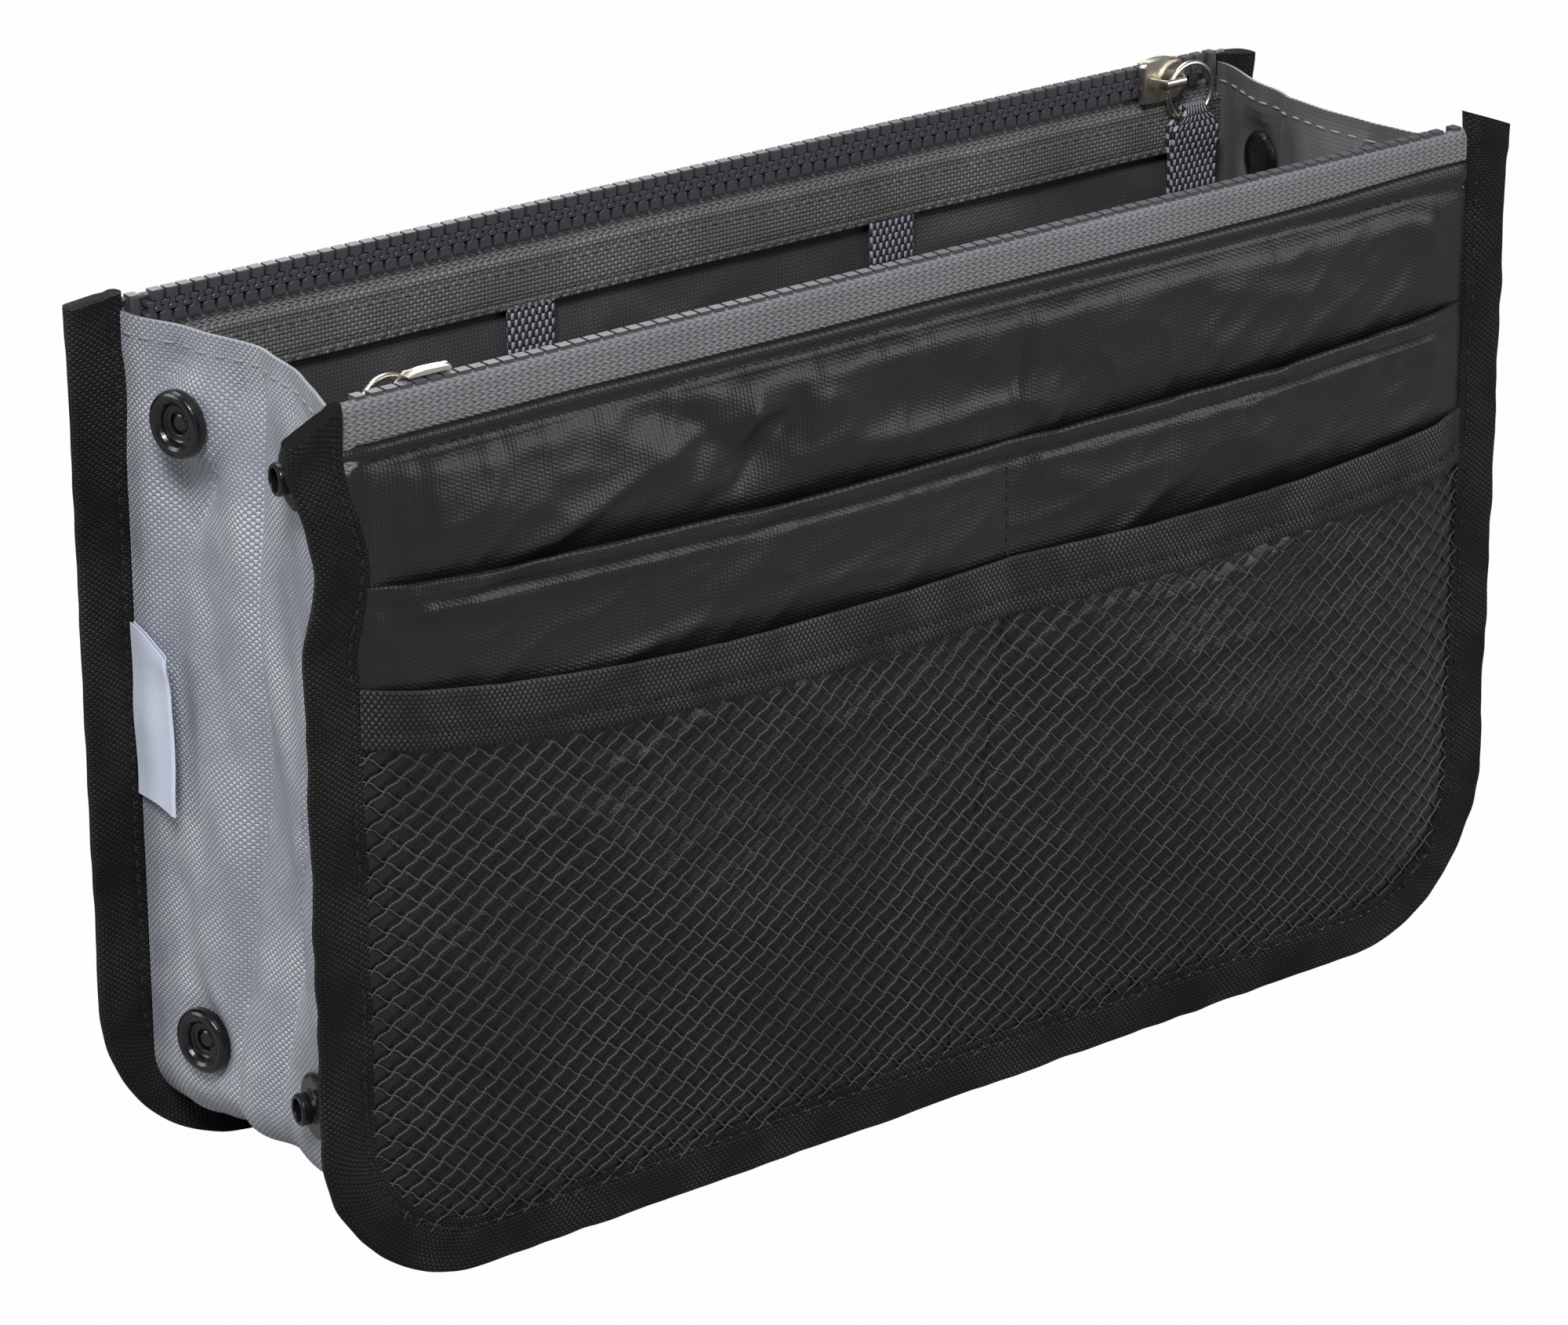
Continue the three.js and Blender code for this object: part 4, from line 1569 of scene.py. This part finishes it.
@dataclass(frozen=True)
class Zip(SidePart):
    """The zip fastener along the top of a panel, with its slider and pull."""

    half: float = 126.5
    middle: float = 164.9
    pitch: float = 3.0
    depth: float = 2.2
    slider_x: float = -113.0
    ring_x: float = -118.0
    ring_out: float = -5.8
    ring_z: float = 162.3
    ring_radius: float = 5.7
    wire: float = 0.52
    tab_width: float = 11.6
    tab_neck: float = 5.4
    tab_foot: float = 132.4
    tab_gap: float = 1.2
    tab_seam_half: float = 5.0
    tab_seam_z: float = 141.0
    seam_half: float = 128.0
    outer_reach: float = 131.6
    inner_reach: float = 129.6

    def outline(
        self, points: list[tuple[float, float]], out: float, depth: float, soft: float
    ) -> bmesh.types.BMesh:
        """Draws a shape on the panel, gives it depth and softens its edges.

        Args:
            points: The shape's corners, x and z.
            out: Where its inner face lies.
            depth: How far it reaches outward.
            soft: How wide its edges are rounded.

        Returns:
            The mesh.
        """
        mesh = bmesh.new()
        verts = [mesh.verts.new(self.side.place(x, out, z)) for x, z in points]
        face = mesh.faces.new(verts)
        made = bmesh.ops.extrude_face_region(mesh, geom=[face])
        moved = [v for v in made["geom"] if isinstance(v, bmesh.types.BMVert)]
        bmesh.ops.translate(mesh, vec=self.side.shift(0, depth), verts=moved)
        face_outward(mesh)
        edges = [e for e in mesh.edges if all(v not in moved for v in e.verts)]
        bmesh.ops.bevel(
            mesh,
            geom=edges,
            offset=soft * MM,
            offset_type="OFFSET",
            affect="EDGES",
            segments=1,
            profile=0.5,
            material=-1,
        )
        return mesh

    def tooth(self, up: int) -> bpy.types.Mesh:
        """Moulds one tooth.

        Args:
            up: One for the outer row, whose root is above, minus one below.

        Returns:
            The tooth's mesh.
        """
        half = [(0.87, -1.0), (0.87, -0.2), (0.5, 0.0), (0.5, 1.0), (1.2, 1.25)]
        half += [(1.2, 3.05)]
        points = [(x, self.middle + up * z) for x, z in half]
        points += [(-x, z) for x, z in reversed(points)]
        return baked(self.outline(points, -0.1 - self.depth, self.depth, 0.2), "tooth")

    def build_teeth(self) -> None:
        """Builds the two rows of teeth and their end stops."""
        count = int(2 * self.half / self.pitch) - 1
        for row, up, phase in (("outer", 1, 0.0), ("inner", -1, 1.5)):
            tooth = self.tooth(up)
            mesh = bmesh.new()
            for index in range(count):
                x = (index - (count - 1) / 2) * self.pitch + phase - 0.75
                before = len(mesh.verts)
                mesh.from_mesh(tooth)
                mesh.verts.ensure_lookup_table()
                added = mesh.verts[before:]
                bmesh.ops.translate(mesh, vec=self.side.shift(x, 0), verts=added)
            for face in mesh.faces:
                face.smooth = False
            bpy.data.meshes.remove(tooth)
            names = (f"{row}_tooth_row", "zip_teeth", "zip_teeth", f"zip_{row}_teeth")
            self.make(mesh, *names, smooth=False)
        z = self.middle
        for name, x in (("left", -self.half - 0.6), ("right", self.half + 0.6)):
            points = [(x - 1, z - 3), (x + 1, z - 3), (x + 1, z + 3), (x - 1, z + 3)]
            stop = self.outline(points, -2.7, 2.6, 0.4)
            self.make(stop, f"{name}_end_stop", "zip_teeth", "zip_teeth", smooth=False)

    def build_tapes(self) -> None:
        """Builds the two tapes and the band that finishes the lining."""

        def outer(x: float, z: float) -> float:
            """The outer tape, which rolls over the corded edge."""
            roll = 0.3 * rise(z, 158.0, 162.0) - 1.5 * rise(z, 165.4, 168.2) ** 2
            return 0.4 + roll + 0.2 * wave(x / 25, z / 12, 30) * rise(z, 159, 161)

        def inner(x: float, z: float) -> float:
            """The inner tape."""
            return -1.05 - 0.35 * rise(z, 160.2, 161.8) + 0.15 * wave(x / 20, z / 9, 31)

        def band(x: float, z: float) -> float:
            """The lining's band, hemmed at its upper edge."""
            line = bell(z, BAND_SEAMS["top"], 0.7)
            line += bell(z, 150.6, 0.6)
            roll = 0.5 * rise(z, 158.4, 159.4)
            return -2.9 + 0.3 * line + roll + 0.35 * wave(x / 22, z / 14, 32)

        # Name, node, foot, top, relief, thickness, finish and faces up.
        rows = (
            ("outer_tape", "zip_outer_tape", 154.6, 167.5, outer, 0.8, "zip_tape", 18),
            ("inner_tape", "zip_inner_tape", 153.5, 162.2, inner, -0.7, "zip_tape", 12),
            ("hem_band", "lining_band", 149.0, 159.4, band, -0.9, "lining_band", 18),
        )
        for name, node, low, high, out, thickness, finish, up in rows:
            reach = self.outer_reach if name == "outer_tape" else self.inner_reach
            names, span = (name, finish, finish, node), (level(low), level(high))
            made = self.sheet(*names, out, span, (150, up), thickness, reach)
            if high - low > LEAST_SHEET:
                declare((2 * reach, high - low))

        for name, height in BAND_SEAMS.items():
            path = self.along(
                self.seam_half,
                lambda x, height=height: height + 0.2 * wave(x / 30, 0, 33),
                lambda x, z, height=height: band(x, height) - 0.85,
                -1,
            )
            row = ("lining_band", path, 2 * self.seam_half, 2.8, 0.36)
            self.sew(f"hem_band_{name}", "olive", *row)

    def build_slider(self) -> None:
        """Builds the slider with its bridge and the wire ring."""
        x, z = self.slider_x, self.middle
        nose, tail = x - 5.5, x + 5.5
        plate = [(tail, z - 4.2), (nose + 2.4, z - 4.2), (nose + 0.7, z - 2.9)]
        plate += [(nose, z - 1.0), (nose, z + 1.0), (nose + 0.7, z + 2.9)]
        plate += [(nose + 2.4, z + 4.2), (tail, z + 4.2)]
        parts = [self.outline(plate, -3.9, 1.1, 0.35)]
        for up, reach in ((1, 2.6), (-1, 1.9)):
            rail = [(nose + 1.8, 3.45), (tail - 0.3, 3.45), (tail - 0.3, 3.9)]
            rail += [(tail - 1.4, 4.25), (x, 4.35), (nose + 3.2, 4.1), (nose + 1.8, 3.7)]
            rail = [(across, z + up * height) for across, height in rail]
            parts.append(self.outline(rail, -3.8, reach, 0.2))
        lip = [(tail - 0.2, z - 4.1), (tail + 0.8, z - 3.6)]
        lip += [(tail + 0.8, z + 3.6), (tail - 0.2, z + 4.1)]
        parts.append(self.outline(lip, -4.6, 1.5, 0.25))

        def arch(u: float, v: float) -> Vector:
            """The bridge, a rounded bar bowed over the plate."""
            turn, lift = 2 * math.pi * v, math.sin(math.pi * u)
            lift = min(1.0, lift * 1.9) ** 0.7
            across = 1.05 * math.copysign(abs(math.cos(turn)) ** 0.6, math.cos(turn))
            thick = 0.5 * math.sin(turn)
            return self.side.place(x - 3.9 + 7.8 * u, -3.7 - 3.35 * lift + thick, z + across)

        parts.append(tube(16, 28, (9, 6), arch))
        mesh = bmesh.new()
        for part in parts:
            data = baked(part, "part")
            mesh.from_mesh(data)
            bpy.data.meshes.remove(data)
        names = ("slider_body", "slider_plating", "metal", "zip_slider", "slider")
        made = self.make(mesh, *names)
        made.data.set_sharp_from_angle(angle=math.radians(38))

        def wire(u: float, v: float) -> Vector:
            """The ring's round wire."""
            turn, around = 2 * math.pi * u, 2 * math.pi * v
            radius = self.ring_radius + self.wire * math.cos(around)
            return self.side.place(
                self.ring_x + radius * math.cos(turn),
                self.ring_out + self.wire * math.sin(around),
                self.ring_z + radius * math.sin(turn),
            )

        ring = tube(12, 56, (36, 3.2), wire)
        self.make(ring, "wire_ring", "slider_plating", "metal", "pull_ring", "ring")

    def build_tab(self) -> None:
        """Builds the pull tab, webbing folded over the ring's lower wire."""
        wire_z = self.ring_z - self.ring_radius
        top, foot = wire_z + 1.55, self.tab_foot
        gap, centre = self.tab_gap, self.ring_x - 0.6
        straight = top - foot
        run = 2 * straight + math.pi * gap

        def surface(u: float, v: float) -> Vector:
            """The place for a spot of the cut."""
            distance = run * u
            if distance < straight:
                out, z = self.ring_out - gap, foot + distance
            elif distance > run - straight:
                out, z = self.ring_out + gap, foot + run - distance
            else:
                turn = (distance - straight) / gap
                out = self.ring_out - gap * math.cos(turn)
                z = top + gap * math.sin(turn)
            below = rise(top + gap - z, 5.5, 12.0)
            out += (self.ring_out - out) * 0.42 * below
            width = self.tab_width - self.tab_neck
            width = self.tab_neck + width * rise(top + gap - z, 0.6, 4.6)
            across = (v - 0.5) * width
            out += 0.25 * wave(across / 6, z / 7, 34)
            lean = -0.5 if distance > run / 2 else 0.0
            return self.side.place(centre + across + lean, out, z)

        mesh = grid(90, 14, (run, self.tab_width), surface)
        face_outward(mesh)
        names = ("tab_webbing", "webbing", "webbing", "pull_tab", "tab")
        made = self.make(mesh, *names, thickness=0.9, offset=0.0)
        cut = (self.tab_width, run)
        declare(cut)
        half, seam = self.tab_seam_half, level(self.tab_seam_z)
        for name, side in (("front", -1), ("back", 1)):
            out = self.ring_out + side * (gap * 0.58 + 0.5)
            path = self.along(half, seam, lambda x, z, out=out: out, side, centre)
            self.sew(f"tab_{name}", "olive", "webbing", path, 2 * half, 2.2, 0.5, "tab")


@dataclass(frozen=True)
class Handle(SidePart):
    """The webbing handle that hangs inside a panel."""

    width: float = 10.8
    thickness: float = 1.4
    radius: float = 43.0
    bend_z: float = 141.2
    top: float = 149.6
    out: float = -3.35

    def build(self) -> None:
        """Builds the webbing."""
        upright = self.top - self.bend_z
        run = 2 * upright + math.pi * self.radius

        def surface(u: float, v: float) -> Vector:
            """The place for a spot of the cut."""
            distance = run * u
            across, thick = loop(v, self.width, self.thickness)
            end = min(distance, run - distance)
            out = self.out + thick - 0.5 * rise(end, 0, 25) * wave(u * 9, 0, 40)
            reach = self.radius + across
            if end < upright:
                x = -reach if distance < upright else reach
                return self.side.place(x, out, self.top - end)
            angle = (distance - upright) / self.radius
            z = self.bend_z - reach * math.sin(angle)
            return self.side.place(-reach * math.cos(angle), out, z)

        cut = (run, 2 * self.width + 1.14 * self.thickness)
        mesh = tube(32, 120, cut, surface)
        names = ("handle_webbing", "webbing", "webbing", "handle", "handle")
        made = self.make(mesh, *names)
        declare((self.width, run))


@dataclass(frozen=True)
class Gusset:
    """The pleated cloth between the panels, round both ends and the bottom."""

    finishes: Finishes
    half: float = 129.45
    foot: float = 10.55
    corner: float = 12.45
    top: float = 165.4
    reach: float = 34.6
    hinge: float = 27.0
    pleat: float = 4.8
    leaf_foot: float = 23.2
    bottom_half: float = 101.0
    hem: float = 3.6
    crease: float = 13.5
    keep: float = 0.245

    @property
    def upright(self) -> float:
        """Length of the cloth down one end."""
        return self.top - self.foot - self.corner

    @property
    def run(self) -> float:
        """Length of the cloth from the left top round to the right top."""
        bends = math.pi * self.corner
        return 2 * self.upright + bends + 2 * (self.half - self.corner)

    def line(self, distance: float) -> tuple[float, float, float, float]:
        """The seam's spot and its direction inward, from the left top."""
        return rounded(distance, self.half, self.corner, self.foot, self.top)

    def skin(self, distance: float, y: float) -> Vector:
        """A place on the cloth.

        Args:
            distance: How far along from the left top.
            y: Across, in millimetres, towards the rear above zero.

        Returns:
            The place.
        """
        x, z, nx, nz = self.line(distance)
        end = min(distance, self.run - distance)
        across = min(1.0, abs(y) / 32.0)
        upper = rise(z, 112, 160)
        profile = math.cos(math.pi / 2 * across) ** (1.9 - 0.6 * upper)
        # The pleat bows inward, more at the ends' tops than at the bottom.
        if end < self.upright:
            bow = self.pleat + 2.3 * rise(z, 100, 163) - 3.4 * (1 - rise(z, 22, 62))
        else:
            bow = 1.4 + 3.4 * rise(end - self.upright, 10, 44)
        depth = bow * profile
        slack = 3.4 * wave(y / 17, distance / 70, 50)
        slack += 2.0 * wave((y + 0.25 * end) / 9, distance / 60, 52)
        slack += 2.2 * fold((y - 0.2 * end) / 17, distance / 90, 54)
        calm = 1 - 0.75 * rise(-end, -12, 0)
        depth += slack * calm * rise(31.0 - abs(y), 0, 10)
        # The snaps hold the cloth against the leaf behind it.
        for height in SNAP_HEIGHTS.values():
            gap = math.hypot(z - height, abs(y) - 18.0) / 8.6
            if abs(nx) > 0.9 and gap < 2:
                held = math.exp(-(gap**4))
                flat = 4.76 * (1 - abs(y) / self.hinge) + 0.2
                depth += (flat - depth) * held
        if end < self.upright:
            z -= 1.4 * rise(-y, 0, 34) * (1 - rise(end, 0, 26))
        return Vector((x + nx * depth, y, z + nz * depth)) * MM

    def sheet(
        self,
        name: str,
        span: tuple[float, float],
        sides: tuple[float, float],
        density: tuple[int, int],
        nodes: tuple[str, ...],
    ) -> list[bpy.types.Object]:
        """Cuts one part of the gusset, with the hem at its upper end.

        Args:
            name: The piece's name.
            span: Where it starts and ends along the seam.
            sides: Its edges across.
            density: Faces along and across.
            nodes: The nodes that it stands for.

        Returns:
            The cloth and its stitches.
        """
        (start, end), (low, high) = span, sides
        cut = (end - start, high - low)

        def surface(u: float, v: float) -> Vector:
            """The place for a spot of the cut."""
            return self.skin(start + (end - start) * u, high + (low - high) * v)

        mesh = grid(*density, cut, surface)
        layer = mesh.loops.layers.uv["cut"]
        for face in mesh.faces:
            for loop in face.loops:
                loop[layer].uv.x += start * MM
                loop[layer].uv.y -= high * MM
        face_outward(mesh)
        mesh.faces.ensure_lookup_table()
        face = mesh.faces[len(mesh.faces) // 2]
        centre = Vector((0, face.calc_center_median().y, 0.09))
        if face.normal.dot(face.calc_center_median() - centre) < 0:
            bmesh.ops.reverse_faces(mesh, faces=mesh.faces[:])
        shell(mesh, 0.6, 1)
        finishes = [self.finishes["gusset_basket"], self.finishes["gusset_coating"]]
        made = finished(mesh, name, finishes, "gusset")
        if nodes:
            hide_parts(*nodes)
        if min(cut) > LEAST_SHEET:
            side = "front" if high < 0 else "rear"
            declare(cut)
        pieces = [made]
        top = 0.0 if start == 0.0 else self.run
        if top not in span:
            return pieces
        seam = abs(top - self.hem)
        for face_name, lift in (("outer", -1), ("inner", 1)):

            def spot(share: float, lift: int = lift) -> tuple[Vector, Vector]:
                """The place and direction on the hem's seam."""
                out = Vector((self.line(top)[2] * lift, 0, 0))
                place = self.skin(seam, low + (high - low) * share)
                return place + out * 0.38 * MM, out

            stem, thread = f"{name}_{face_name}_hem_stitches", self.finishes["pale_thread"]
            row = stitch_row(stem, thread, "gusset", spot, high - low, 4.0, 0.52)
            pieces.append(row)
        return pieces

    def carry(
        self, pieces: list[bpy.types.Object], bodies: tuple[str, ...], turn: tuple[float, ...] = ()
    ) -> None:
        """Makes pieces move with one body, or fixes them where they lie when given two.

        Args:
            pieces: The cloth and its stitches.
            bodies: One body or two.
            turn: Not used.
        """
        for piece in pieces:
            if len(bodies) == 1:
                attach(piece, bodies[0])
                continue
            start, end = (Vector((0, y, 0)) * MM for y in turn)
            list(bodies)
            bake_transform(piece)

    def build(self) -> None:
        """Builds every part of the gusset."""
        reach, hinge, crease = self.reach, self.hinge, self.crease
        down, middle = self.top - self.leaf_foot, self.run / 2
        spans = {
            "left": (0.0, down),
            "right": (self.run - down, self.run),
            "bottom": (middle - self.bottom_half, middle + self.bottom_half),
        }
        for word, span in spans.items():
            rear, front = f"{word}_rear_leaf", f"{word}_front_leaf"
            # Name, edges, faces across, bodies, and where it bends between two.
            strips = [
                ("rear", (crease, reach), 16, ("rear_panel", rear), (30.0, 24.0)),
                ("crease", (-crease, crease), 26, (rear, front), (4.5, -4.5)),
            ]
            if word == "left":
                bodies = (front, "front_panel")
                strips += [("front", (-reach, -crease), 16, bodies, (-24.0, -30.0))]
            else:
                strips += [("front", (-hinge, -crease), 12, (front,), ())]
                strips += [("front_edge", (-reach, -hinge), 6, ("front_panel",), ())]
            leaves = {"rear": (f"{word}_leaf_rear",), "crease": (f"{word}_leaf_front",)}
            for name, sides, across, bodies, turn in strips:
                density = (90 if word == "bottom" else 76, across)
                nodes = leaves.get(name, ())
                made = self.sheet(f"{word}_gusset_{name}", span, sides, density, nodes)
                self.carry(made, bodies, turn)
        bends = {
            "left": (down, middle - self.bottom_half),
            "right": (middle + self.bottom_half, self.run - down),
        }
        for word, span in bends.items():
            nodes = (f"{word}_corner",)
            made = self.sheet(f"{word}_gusset_bend", span, (-hinge, hinge), (26, 44), nodes)
            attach(made[0], "rear_panel")
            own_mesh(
                made[0],
                "left_crease_fold",
                axis=(0, 1, 0),
                anchor=(0, hinge * MM, 0),
                keep=self.keep,
            )
            for side, low, high in (("rear", hinge, reach), ("front", -reach, -hinge)):
                nodes = (f"{side}_gusset_return",) if word == "left" else ()
                edge = self.sheet(
                    f"{word}_gusset_bend_{side}_edge", span, (low, high), (26, 6), nodes
                )
                self.carry(edge, (f"{side}_panel",))


@dataclass(frozen=True)
class Snap:
    """A snap fastener half with its domed cap, on one leaf of an end."""

    end: End
    half: str
    level: str
    finishes: Finishes
    seam_x: float = 129.0
    hinge_y: float = 27.0
    angle: float = math.radians(10)
    from_panel: float = 18.0
    leaf_cloth: float = 0.9

    def matrix(self) -> Matrix:
        """Where the fastener's axis lies, with its own Z pointing out."""
        direction = 1 if self.half == "rear" else -1
        side = self.end.value
        sine, cosine = math.sin(self.angle), math.cos(self.angle)
        along = Vector((-side * sine, -direction * cosine, 0))
        out = Vector((side * cosine, -direction * sine, 0))
        reach = (self.from_panel - 9.0) / cosine
        length = self.hinge_y / cosine
        face = self.leaf_cloth * (1 - reach / length)
        height = SNAP_HEIGHTS[self.level]
        origin = Vector((side * self.seam_x, direction * self.hinge_y, height))
        origin += along * reach + out * face
        normal = (out * length + along * self.leaf_cloth).normalized()
        up = Vector((0, 0, 1))
        turn = Matrix((up, normal.cross(up), normal)).transposed().to_4x4()
        return Matrix.Translation(origin * MM) @ turn

    def turned(self, name: str, profile: list[tuple[float, float]], node: str) -> None:
        """Turns a profile round the fastener's axis.

        Args:
            name: The piece's name.
            profile: Radius and height of each corner, round the section.
            node: The node that it stands for.
        """
        mesh = bmesh.new()
        verts = [mesh.verts.new(Vector((r, 0, h)) * MM) for r, h in profile]
        edges = [mesh.edges.new(pair) for pair in zip(verts, verts[1:])]
        if profile[0][0] > 0:
            edges.append(mesh.edges.new((verts[-1], verts[0])))
        bmesh.ops.spin(
            mesh,
            geom=verts + edges,
            cent=(0, 0, 0),
            axis=(0, 0, 1),
            angle=2 * math.pi,
            steps=44,
            use_merge=True,
        )
        bmesh.ops.remove_doubles(mesh, verts=mesh.verts[:], dist=1e-6)
        face_outward(mesh)
        bmesh.ops.transform(mesh, matrix=self.matrix(), verts=mesh.verts[:])
        made = finished(mesh, name, [self.finishes["snap_plastic"]], "snap_plastic")
        sharp = made.modifiers.new("soft", "BEVEL")
        sharp.width = 0.12 * MM
        sharp.segments = 2
        sharp.limit_method = "ANGLE"
        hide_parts(node)
        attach(made, f"{self.end.word}_{self.half}_leaf")

    def build(self) -> None:
        """Builds the socket or the stud, and its cap."""
        stem = f"{self.end.word}_{self.level}_snap"
        if self.half == "rear":
            word = "socket"
            profile = [(2.1, 0.3), (5.7, 0.3), (6.15, 0.6), (6.25, 1.2), (6.2, 2.1)]
            profile += [(5.9, 2.7), (5.3, 3.0), (4.6, 2.95), (4.0, 2.6), (3.6, 2.1)]
            profile += [(3.5, 1.5), (3.1, 1.3), (2.1, 1.25)]
        else:
            word = "stud"
            profile = [(2.1, 0.3), (5.7, 0.3), (6.15, 0.6), (6.2, 1.1), (5.9, 1.55)]
            profile += [(5.2, 1.75), (3.5, 1.7), (3.0, 1.9), (2.85, 2.6), (3.0, 3.6)]
            profile += [(3.0, 4.2), (2.7, 4.65), (2.3, 4.7), (2.1, 4.5)]
        self.turned(f"{stem}_{word}_ring", profile, f"{stem}_{word}")
        base = -self.leaf_cloth - 0.3
        dome = [(0.0, base - 1.75), (2.0, base - 1.7), (4.0, base - 1.45)]
        dome += [(5.4, base - 1.0), (6.05, base - 0.5), (6.0, base - 0.1), (5.6, base)]
        dome += [(1.8, base), (1.75, 0.9), (1.3, 1.15), (0.0, 1.15)]
        self.turned(f"{stem}_{word}_dome", dome, f"{stem}_{word}_cap")


@dataclass(frozen=True)
class Label:
    """The blank woven ribbon caught in the rear left seam."""

    finishes: Finishes
    length: float = 33.0
    reach: float = 14.0
    sewn_y: float = 34.2
    middle_z: float = 91.0
    x: float = -130.4

    def build(self) -> None:
        """Builds the folded ribbon."""

        def surface(u: float, v: float) -> Vector:
            """The place for a spot of the cut, folded over at the free end."""
            turn = abs(2 * u - 1)
            back = 0.35 if u < 0.5 else -0.35
            fold_over = math.sqrt(max(0.0, 1 - max(0.0, 1 - turn * 12) ** 2))
            y = self.sewn_y - self.reach * (1 - turn)
            z = self.middle_z + self.length * (v - 0.5)
            lift = 1.3 * (1 - turn) ** 2 + 0.5 * wave(y / 9, z / 12, 60)
            lift += 0.9 * rise(z, 97, 107) * (1 - turn)
            droop = 2.6 * (1 - turn) * rise(z, 99, 107.5)
            return Vector((self.x - lift + back * fold_over, y, z - droop)) * MM

        mesh = grid(44, 40, (2 * self.reach, self.length), surface)
        face_outward(mesh)
        made = finished(mesh, "blank_label", [self.finishes["label_ribbon"]], "label")
        thicken(made, 0.22, 0.0)
        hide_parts("label_tab")
        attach(made, "rear_panel")
        cut = (2 * self.reach, self.length)
        declare(cut)


@dataclass(frozen=True)
class Studio:
    """The camera, the lights and the floor."""

    azimuth: float = -38.7088
    elevation: float = 21.2801
    distance: float = 1.078147
    aim_z: float = 0.08298
    focal_pixels: float = 7286.39
    right_pixels: float = 50.15
    up_pixels: float = 31.28
    sensor: float = 36.0

    def camera(self) -> None:
        """Places the camera at the photograph's angle."""
        data = bpy.data.cameras.new("camera")
        made = placed("camera", data)
        a, e = math.radians(self.azimuth), math.radians(self.elevation)
        back = Vector((math.sin(a) * math.cos(e), -math.cos(a) * math.cos(e), math.sin(e)))
        made.location = Vector((0, 0, self.aim_z)) + back * self.distance
        made.rotation_euler = (-back).to_track_quat("-Z", "Y").to_euler()
        data.sensor_width = self.sensor
        data.lens = self.focal_pixels * self.sensor / PHOTO_WIDTH
        data.shift_x = -self.right_pixels / PHOTO_WIDTH
        data.shift_y = -self.up_pixels / PHOTO_WIDTH
        data.clip_start, data.clip_end = 0.01, 50.0
        bpy.context.scene.camera = made

    def lamp(self, name: str, place: Vector, size: float, power: float, colour: Colour) -> None:
        """Hangs a soft lamp that points at the object.

        Args:
            name: Its name.
            place: Where it hangs.
            size: Its width in metres.
            power: Its power in watts.
            colour: Its colour.
        """
        data = bpy.data.lights.new(name, "AREA")
        data.shape = "SQUARE"
        data.size, data.energy, data.color = size, power, colour
        made = placed(name, data)
        made.location = place
        aim = Vector((0, 0, 0.08)) - place
        made.rotation_euler = aim.to_track_quat("-Z", "Y").to_euler()

    def lights(self) -> None:
        """Hangs the lamps and sets the world."""
        self.lamp("key_lamp", Vector((-1.0, -1.0, 1.7)), 0.6, 38.0, (1, 1, 1))
        self.lamp("fill_lamp", Vector((1.15, -1.5, 0.5)), 0.9, 7.5, (1, 0.99, 0.98))
        self.lamp("side_lamp", Vector((-1.5, 1.0, 0.7)), 0.7, 7.0, (0.98, 0.99, 1))
        self.lamp("back_lamp", Vector((0.9, 1.8, 0.7)), 0.9, 8.0, (1, 1, 1))
        self.lamp("top_lamp", Vector((0.2, 0.9, 1.7)), 1.0, 12.0, (0.97, 0.98, 1))
        world = bpy.data.worlds.new("world")
        world.use_nodes = True
        bpy.context.scene.world = world
        nodes = Nodes(world.node_tree, "ShaderNodeOutputWorld")
        soft = nodes.node("ShaderNodeBackground", None, {"Strength": 0.24})
        white = nodes.node("ShaderNodeBackground")
        nodes.split(soft.outputs[0], white.outputs[0], 1.0)

    def floor(self) -> None:
        """Lays the pale floor."""
        shader = Shader("pale_floor")
        speck = shader.cloud(shader.coordinates()[3], 0.4, 3.0)
        shade = shader.blend(speck * 0.3, (0.3, 0.3, 0.3), (0.28, 0.28, 0.28))
        shader.set(Base_Color=shade, Roughness=0.9, Specular_IOR_Level=0.1)
        glow = shader.node("ShaderNodeEmission", None, {"Color": (1.0, 1.0, 1.0)})
        shader.split(shader.surface.outputs[0], glow.outputs[0], 0.98)
        mesh = bmesh.new()
        bmesh.ops.create_grid(mesh, x_segments=2, y_segments=2, size=6.0)
        data = baked(mesh, "floor")
        data.materials.append(shader.material)
        placed("floor", data)

    def build(self) -> None:
        """Builds the studio."""
        self.camera()
        self.lights()
        self.floor()
        view = bpy.context.scene.view_settings
        view.view_transform = "Standard"


@dataclass(frozen=True)
class Organizer:
    """The whole insert."""

    finishes: Finishes

    def build(self) -> None:
        """Builds every sub-assembly in order."""
        for side in Side:
            panel = Panel(side, self.finishes)
            panel.build_walls()
            panel.build_pockets()
            panel.build_stitching()
            Binding(side, self.finishes).build()
            fastener = Zip(side, self.finishes)
            fastener.build_teeth()
            fastener.build_tapes()
            fastener.build_slider()
            fastener.build_tab()
            Handle(side, self.finishes).build()
        Gusset(self.finishes).build()
        for end in End:
            for half in ("rear", "front"):
                for level in ("upper", "lower"):
                    Snap(end, half, level, self.finishes).build()
        Label(self.finishes).build()


def main() -> None:
    """Builds the scene."""
    logging.basicConfig(level=logging.INFO, format="%(message)s")
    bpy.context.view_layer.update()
    Studio().build()
    finishes = {finish.name: finish.material() for finish in FINISHES}
    Organizer(finishes).build()


if __name__ == "__main__":
    main()
